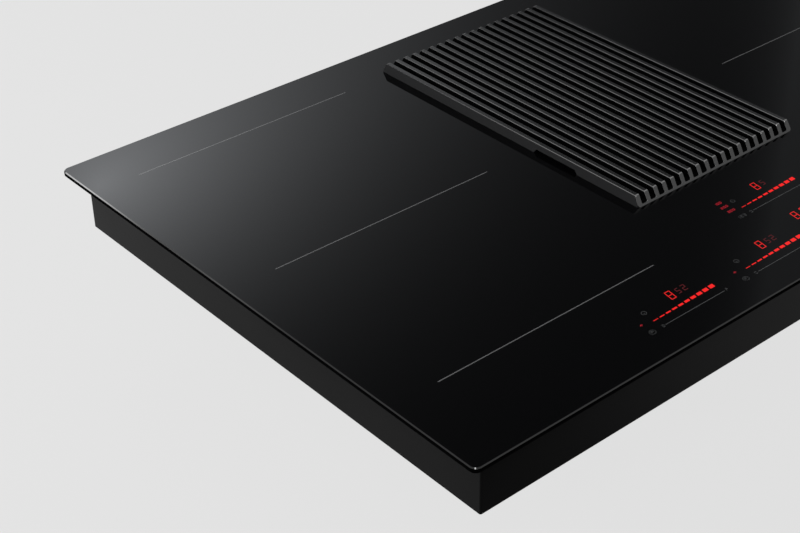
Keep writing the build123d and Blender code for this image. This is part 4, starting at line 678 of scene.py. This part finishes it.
BAR_COUNT, BAR_PITCH, BAR_WIDTH = 10, 7.03, 5.1
BAR_FIRST, BAR_LAST = 0.6, 3.9
FIGURE_W, FIGURE_H, FIGURE_NIP = 4.7, 9.4, 0.35
FIGURE_LINE_W, FAINT_LINE_W, KEY_LINE_W = 0.72, 0.42, 0.34

# In millimetres from the middle of a level row: the figure over it, the two faint ones beside that, and
# the chevron at its left end.
LEVEL_FIGURE = figure("8", 0.0, 14.5, FIGURE_W, FIGURE_H, FIGURE_NIP)
FAINT_FIRST, FAINT_SECOND = figure("5", 8.7, 14.6, 2.8, 6.0), figure("2", 15.3, 14.8, 3.2, 6.2)
CHEVRON = [[(-46.1, 2.0), (-44.8, 3.2)], [(-44.8, 3.2), (-43.6, 2.3)], [(-44.9, 3.0), (-44.9, 1.4)]]

FAN_LEVELS = (("100", -144.6), ("200", -151.5), ("300", -158.7))
FAN_LEVEL_X, FAN_LEVEL_SIZE = -44.6, (1.6, 2.1, 2.9)
CLOCK_X, CLOCK_Y = (-11.0, 0.2, 11.4), -197.6


def shining(name, colour, spots=0.85):
    """Light that comes through the glass: a little uneven, like the grid of dots it is made of."""
    lit = Finish(name, (0.01, 0.0, 0.0), roughness=0.3)
    dots = lit.noise(scale=700.0, detail=0.0)
    lit.set("Emission Color", lit.mix(dots, tinted(colour, spots), colour))
    lit.set("Emission Strength", 1.0)
    return lit.material


bright_red = shining("display_red", (1.0, 0.01, 0.009))
figure_red = shining("figure_red", (0.95, 0.012, 0.011), 0.7)
key_red = shining("key_red", (0.62, 0.012, 0.03), 0.6)
dim_red = shining("display_red_dim", (0.15, 0.009, 0.014), 0.7)


def level_bars(name, x, y):
    """Ten leaning bars on one base line, centred on x and standing on y, each taller than the last."""
    bars = Maker(name + "_tree", Count=BAR_COUNT, Pitch=BAR_PITCH * MM, Width=BAR_WIDTH * MM,
                 First=BAR_FIRST * MM, Growth=(BAR_LAST - BAR_FIRST) / (BAR_COUNT - 1) * MM, Lean=SLANT,
                 Light=bright_red)
    start = ((x - BAR_PITCH * (BAR_COUNT - 1) / 2) * MM, y * MM, (INK_LOW + INK_HIGH) / 2)
    row = bars.row(bars["Count"], start, bars.vector(x=bars["Pitch"]))
    tall = bars.node("GeometryNodeInputIndex") * bars["Growth"] + bars["First"]
    raised = bars.node("GeometryNodeSetPosition", inputs={
        "Geometry": row, "Offset": bars.vector(y=tall * 0.5)})
    plate = bars.node("GeometryNodeMeshCube", inputs={"Size": (1.0, 1.0, 1.0)})
    size = bars.vector(bars["Width"], tall, INK_HIGH - INK_LOW)
    copies = bars.node("GeometryNodeInstanceOnPoints", inputs={
        "Points": raised, "Instance": plate, "Scale": size})
    upright = bars.node("GeometryNodeRealizeInstances", inputs={"Geometry": copies})
    lean = (bars.place()[1] - y * MM) * bars["Lean"]
    leaning = bars.node("GeometryNodeSetPosition", inputs={
        "Geometry": upright, "Offset": bars.vector(x=lean)})
    bars.bake(name, leaning, "Light", "hob", "white_plastic")


figures, faint, keys = [], [], []
for place, (x, y) in enumerate(groups):
    level_bars(f"level_bars_{place + 1}", x, y)
    figures += moved(LEVEL_FIGURE, x, y)
    faint += moved(FAINT_FIRST, x, y)
    if y == ZONE_ROW_Y:
        faint += moved(FAINT_SECOND, x, y)
        keys += moved(CHEVRON, x, y)
for text, y in FAN_LEVELS:
    keys += number(text, FAN_LEVEL_X, y, *FAN_LEVEL_SIZE)
for x in CLOCK_X:
    figures += figure("8", x, CLOCK_Y, FIGURE_W, FIGURE_H, FIGURE_NIP)

printed("display_figures", figures, FIGURE_LINE_W, figure_red)
printed("display_faint_marks", faint, FAINT_LINE_W, dim_red)
printed("display_key_marks", keys, KEY_LINE_W, key_red)


# ---------------------------------------------------------------- grease filter
# A grey basket that drops into the well, with two sloping perforated panels covered in woven stainless
# wire. A drawn bar over its trough lifts it out.

MESH_TILT = math.radians(48.28)
MESH_FACE_X, MESH_FACE_Z, MESH_Y = 53.58, 176.83, 55.5
WEAVE_W, WEAVE_L, WEAVE_PITCH = 64.0, 275.2, 3.2
WEAVE_WAVE, WEAVE_WIRE_R, WEAVE_WIRE_SIDES = 0.3, 0.28, 5

moulded("basket_grey", (0.03, 0.031, 0.033), dull=0.45).paint("filter_basket")
rolled("perforated_stainless", (0.2, 0.2, 0.205), dull=0.35, along=(1.0, 30.0, 1.0)).paint(
    "filter_mesh_left", "filter_mesh_right")
rolled("drawn_handle", (0.45, 0.45, 0.46), dull=0.22, along=(30.0, 1.0, 1.0)).paint("filter_handle")
woven_steel = rolled("woven_stainless", (0.3, 0.3, 0.31), dull=0.3, along=(1.0, 1.0, 1.0)).material


def weave(name, side):
    """Plain-woven wire over one panel: every wire goes over and under those that cross it."""
    cloth = Maker(name + "_tree", Across=int(WEAVE_W / WEAVE_PITCH) + 1,
                  Along=int(WEAVE_L / WEAVE_PITCH) + 1, Pitch=WEAVE_PITCH * MM, Wave=WEAVE_WAVE * MM,
                  Wire_Radius=WEAVE_WIRE_R * MM, Steel=woven_steel)
    half, whole = cloth["Pitch"] * 0.5, cloth["Pitch"]
    corner = cloth.vector(-WEAVE_W / 2 * MM, -WEAVE_L / 2 * MM, 0.0)
    sets = []
    for sign, wire_way, row_way, points, count in (
            (1.0, {"x": half}, {"y": whole}, "Across", "Along"),
            (-1.0, {"y": half}, {"x": whole}, "Along", "Across")):
        straight = cloth.row(cloth[points] * 2.0 - 1.0, (0.0, 0.0, 0.0), cloth.vector(**wire_way))
        laid = cloth.at_each(cloth.row(cloth[count], corner, cloth.vector(**row_way)), straight)
        u, v, _ = cloth.place()
        up_u = maths("COSINE", (u + WEAVE_W / 2 * MM) * math.pi / cloth["Pitch"])
        up_v = maths("COSINE", (v + WEAVE_L / 2 * MM) * math.pi / cloth["Pitch"])
        wavy = cloth.node("GeometryNodeSetPosition", inputs={
            "Geometry": laid, "Offset": cloth.vector(z=up_u * up_v * cloth["Wave"] * sign)})
        path = cloth.node("GeometryNodeMeshToCurve", inputs={"Mesh": wavy})
        sets.append(cloth.rod(path, cloth["Wire_Radius"], WEAVE_WIRE_SIDES))
    turned = cloth.node("GeometryNodeTransform", inputs={
        "Geometry": cloth.together(sets), "Rotation": (0.0, -side * MESH_TILT, 0.0),
        "Translation": (side * MESH_FACE_X * MM, MESH_Y * MM, MESH_FACE_Z * MM)})
    cloth.bake(name, turned, "Steel", "grease_filter", "steel_bright")


weave("filter_weave_left", -1)
weave("filter_weave_right", 1)


# ---------------------------------------------------------------- grille
# The lift-off cover over the vent: one casting with slats along its length, matt inside and rubbed to a
# satin sheen on its tops and, less, on its end slopes. Inside the slots the matt colour is near black as
# painted shade; the outer walls and end slopes keep a lighter grey. It stands on four rubber feet.

SATIN_GREY, SIDE_GREY = (0.007, 0.0071, 0.0074), (0.021, 0.0212, 0.0218)
# Painted shade: the near black given to the slot walls and slot floors between the slats.
SLOT_SHADE_BLACK = (0.0012, 0.0012, 0.0013)
SIDE_X, END_SHEEN, RUBBED_ABOVE = 96.3, 0.3, 0.3
GRILLE_TOP_Z, GRILLE_MIDDLE_Y, GRILLE_KNEE_Y, END_SLOPE = 229.0, 55.5, 157.0, 5.0 / 9.0
SLOT_FLOOR_Z, FACE_SKIN = 223.5, 0.4

satin = Finish("grille_paint", SATIN_GREY, ior=2.7)
blasted = satin.noise(scale=700.0, detail=3.0)
cloudy = satin.noise(scale=14.0, detail=3.0)
satin.set("Roughness", blasted * 0.05 + cloudy * 0.05 + 0.12)
satin.set("Base Color", satin.mix(cloudy, tinted(SATIN_GREY, 0.85), SATIN_GREY))
satin.relief(blasted, strength=0.2, depth=0.0001)
x, y, z = satin.axes()
past_knee = maths("ABSOLUTE", y - GRILLE_MIDDLE_Y * MM) - GRILLE_KNEE_Y * MM
end_face = past_knee - (GRILLE_TOP_Z * MM - z) * END_SLOPE
on_end = maths("GREATER_THAN", end_face, -FACE_SKIN * MM)
on_top = maths("GREATER_THAN", z, SLOT_FLOOR_Z * MM) * (1.0 - on_end)
rubbed = maths("GREATER_THAN", satin.facing_up(), RUBBED_ABOVE) * (on_top + on_end * END_SHEEN)
on_side = maths("GREATER_THAN", maths("ABSOLUTE", x), SIDE_X * MM)
# Painted shade: the matt colour is near black inside the slots, and a lighter grey only on the outer
# walls and end slopes.
matt_grey_and_slot_shade = satin.mix(maths("MAXIMUM", on_side, on_end), SLOT_SHADE_BLACK, SIDE_GREY)
matt = satin.node("ShaderNodeBsdfPrincipled", inputs={
    "Base Color": matt_grey_and_slot_shade, "Roughness": cloudy * 0.1 + 0.55, "Specular IOR Level": 0.02})
satin.show_where(rubbed, matt)
satin.paint("grille")
soft_rubber("foot_rubber", (0.012, 0.012, 0.012), pore_scale=900.0, dull=0.7).paint("grille_feet")


# ---------------------------------------------------------------- screws
# One kind of pan-head screw holds the flanges, the motor, the boards and the collar: rolled thread,
# bright zinc plate.

zinc.paint("pan_head_screws")


# ---------------------------------------------------------------- studio
# A pale round floor with a backdrop and a dome, three lamps, and a graded panel behind on the right that
# the glass mirrors. Soft cards serve the edges: two glows at the back left for the bevel, and a glow and
# a black flag on the floor beside the pan for its walls.

PALE, DOME_LIGHT = 0.77, 0.42
FLOOR_R, FLOOR_GAP, BACKDROP_H, SIDES = 9.0, 0.0005, 3.6, 64
FLOOR_SHADOW, BACKDROP_SHADOW = 0.05, 0.0
BLACK = (0.0, 0.0, 0.0)


def in_view(bench):
    """One for rays that show a surface in the picture or in a mirror, none for those that carry light."""
    paths = bench.node("ShaderNodeLightPath").socket.node.outputs
    camera_ray, glossy, clear = [Wire(bench.tree, paths[name]) for name in
                                 ("Is Camera Ray", "Is Glossy Ray", "Is Transmission Ray")]
    return maths("MINIMUM", camera_ray + glossy + clear, 1.0)


def pale_paper(name, shadow_share):
    """Pale matt paper whose tone in view is mostly fixed, so that the shadow on it stays faint."""
    paper = Finish(name, (PALE, PALE, PALE), specular=0.0, roughness=1.0)
    fixed = in_view(paper) * (1.0 - shadow_share)
    paper.set("Base Color", paper.mix(fixed, (PALE, PALE, PALE), BLACK))
    paper.set("Emission Color", paper.mix(fixed, BLACK, (PALE, PALE, PALE)))
    return paper.set("Emission Strength", 1.0).material


def staged(name, points, faces, material):
    """A piece of the studio, which isn't part of the object."""
    data = bpy.data.meshes.new(name)
    data.from_pydata(points, [], faces)
    data.materials.append(material)
    piece = bpy.data.objects.new(name, data)
    bpy.context.scene.collection.objects.link(piece)
    return piece


rim = ring(0.0, 0.0, FLOOR_R, FLOOR_R, SIDES)[:SIDES]
floor_points = [(x, y, -FLOOR_GAP) for x, y in rim]
staged("floor", floor_points, [list(range(SIDES))], pale_paper("floor_paper", FLOOR_SHADOW))
wall_points = floor_points + [(x, y, BACKDROP_H) for x, y in rim]
wall_faces = [(n, (n + 1) % SIDES, SIDES + (n + 1) % SIDES, SIDES + n) for n in range(SIDES)]
staged("backdrop", wall_points, wall_faces, pale_paper("backdrop_paper", BACKDROP_SHADOW))

world = bpy.data.worlds.new("studio")
bpy.context.scene.world = world
world.use_nodes = True
sky = Bench(world.node_tree)
dome = sky.tree.nodes["Background"]
dome.inputs["Color"].default_value = (1.0, 1.0, 1.0, 1.0)
sky.tree.links.new((in_view(sky) * (PALE - DOME_LIGHT) + DOME_LIGHT).socket, dome.inputs["Strength"])

# The panel behind: one glow that fades away from its middle, a faint one along the right edge, which
# grows up to a limit, and a fainter tone all over.
PANEL_PLANE = 2.6
PANEL_X, PANEL_Z = (-1.6, 5.2), (0.6, 4.3)
PANEL_TINT = (0.94, 0.965, 1.0)
GLOW_AT, GLOW_FADE, GLOW_PEAK = (0.8681, 1.7984), (0.48, 0.3253), 2.1545
GLOW_ALL_OVER, EDGE_GLOW, EDGE_AT, EDGE_FADE, EDGE_MOST = 0.03, 0.0568, 3.7984, 0.182, 0.1

panel = Finish("sheen_panel", BLACK, specular=0.0, roughness=1.0)
x, _, z = panel.axes()
across, upward = (x - GLOW_AT[0]) / GLOW_FADE[0], (z - GLOW_AT[1]) / GLOW_FADE[1]
fall = maths("EXPONENT", maths("SQRT", across * across + upward * upward) * -1.0) * GLOW_PEAK
right_edge = maths("MINIMUM", maths("EXPONENT", (x - EDGE_AT) / EDGE_FADE) * EDGE_GLOW, EDGE_MOST)
glow = fall + right_edge + GLOW_ALL_OVER
cool_glow = panel.node("ShaderNodeVectorMath", {"operation": "SCALE"}, {0: PANEL_TINT, "Scale": glow})
panel.set("Emission Color", cool_glow)
panel.set("Emission Strength", 1.0)
(left, right), (low, high) = PANEL_X, PANEL_Z
panel_corners = [(x, PANEL_PLANE, z)
                 for x, z in ((left, low), (right, low), (right, high), (left, high))]
shade = staged("sheen_panel", panel_corners, [(0, 1, 2, 3)], panel.material)
shade.visible_camera = False
shade.visible_shadow = False


def faced(piece, place, aim):
    """Puts a lamp or a card at its place, facing its aim."""
    piece.location = place
    piece.rotation_euler = (Vector(aim) - Vector(place)).to_track_quat("-Z", "Y").to_euler()


CARD_REACH = 2.6


def soft_card(name, place, aim, spread, peak):
    """A black card that glows with a strength of peak, and fades to clear from its middle to its rim."""
    light = Finish(name, BLACK, specular=0.0, roughness=1.0)
    x, y, _ = light.axes()
    across, upward = x / spread[0], y / spread[1]
    light.set("Alpha", maths("EXPONENT", (across * across + upward * upward) * -1.0))
    light.set("Emission Color", (1.0, 1.0, 1.0))
    light.set("Emission Strength", peak)
    half_w, half_h = [CARD_REACH * each for each in spread]
    corners = [(x * half_w, y * half_h, 0.0) for x, y in ((-1, -1), (-1, 1), (1, 1), (1, -1))]
    card = staged(name, corners, [(0, 1, 2, 3)], light.material)
    card.visible_camera = False
    faced(card, place, aim)
    return card


BEVEL_SPREAD, FLOOR_CARD_Z = (0.14, 0.09), 0.004

soft_card("left_back_glow", place=(-1.56, 2.0, 1.147), aim=(-0.4, 0.2, 0.2),
          spread=BEVEL_SPREAD, peak=9.0)
soft_card("left_middle_glow", place=(-1.69, 1.66, 1.245), aim=(-0.4, 0.1, 0.2),
          spread=BEVEL_SPREAD, peak=1.6)
front_flag = soft_card("front_flag", place=(-0.26, -0.43, FLOOR_CARD_Z), aim=(-0.26, -0.43, -1.0),
                       spread=(0.32, 0.2), peak=0.0)
floor_glow = soft_card("left_floor_glow", place=(-0.58, 0.52, FLOOR_CARD_Z), aim=(-0.58, 0.52, -1.0),
                       spread=(0.2, 0.2), peak=1.3)
for floor_card in (front_flag, floor_glow):
    floor_card.visible_diffuse = False
    floor_card.visible_shadow = False


def lamp(name, place, aim, size, watts, mirrored):
    """A flat lamp, which the camera doesn't see and gloss mirrors only where mirrored is true."""
    data = bpy.data.lights.new(name, "AREA")
    data.shape = "RECTANGLE"
    data.size, data.size_y = size
    data.energy = watts
    piece = bpy.data.objects.new(name, data)
    faced(piece, place, aim)
    piece.visible_camera = False
    piece.visible_glossy = mirrored
    bpy.context.scene.collection.objects.link(piece)


lamp("left_soft", place=(-1.25, 1.25, 0.8), aim=(-0.4, 0.1, 0.2), size=(0.8, 0.5),
     watts=24, mirrored=False)
lamp("overhead_soft", place=(-0.4, 0.3, 2.6), aim=(0.0, 0.0, 0.2), size=(1.2, 1.2),
     watts=8, mirrored=False)
lamp("corner_key", place=(-1.42, -1.17, 1.82), aim=(-0.2, 0.0, 0.2), size=(0.5, 0.5),
     watts=10, mirrored=True)

LENS, SENSOR_W, SHIFT_X, FAR = 75.405, 36.0, -0.05625, 100.0
CAMERA_AT, CAMERA_WAY = (-0.98078, -0.86556, 0.93384), (0.5520, 0.6220, -0.5553)

eye = bpy.data.cameras.new("camera")
eye.lens = LENS
eye.sensor_width = SENSOR_W
eye.shift_x = SHIFT_X
eye.clip_end = FAR
camera = bpy.data.objects.new("camera", eye)
camera.location = CAMERA_AT
camera.rotation_euler = Vector(CAMERA_WAY).to_track_quat("-Z", "Y").to_euler()
bpy.context.scene.collection.objects.link(camera)
bpy.context.scene.camera = camera
bpy.context.scene.view_settings.view_transform = "Standard"
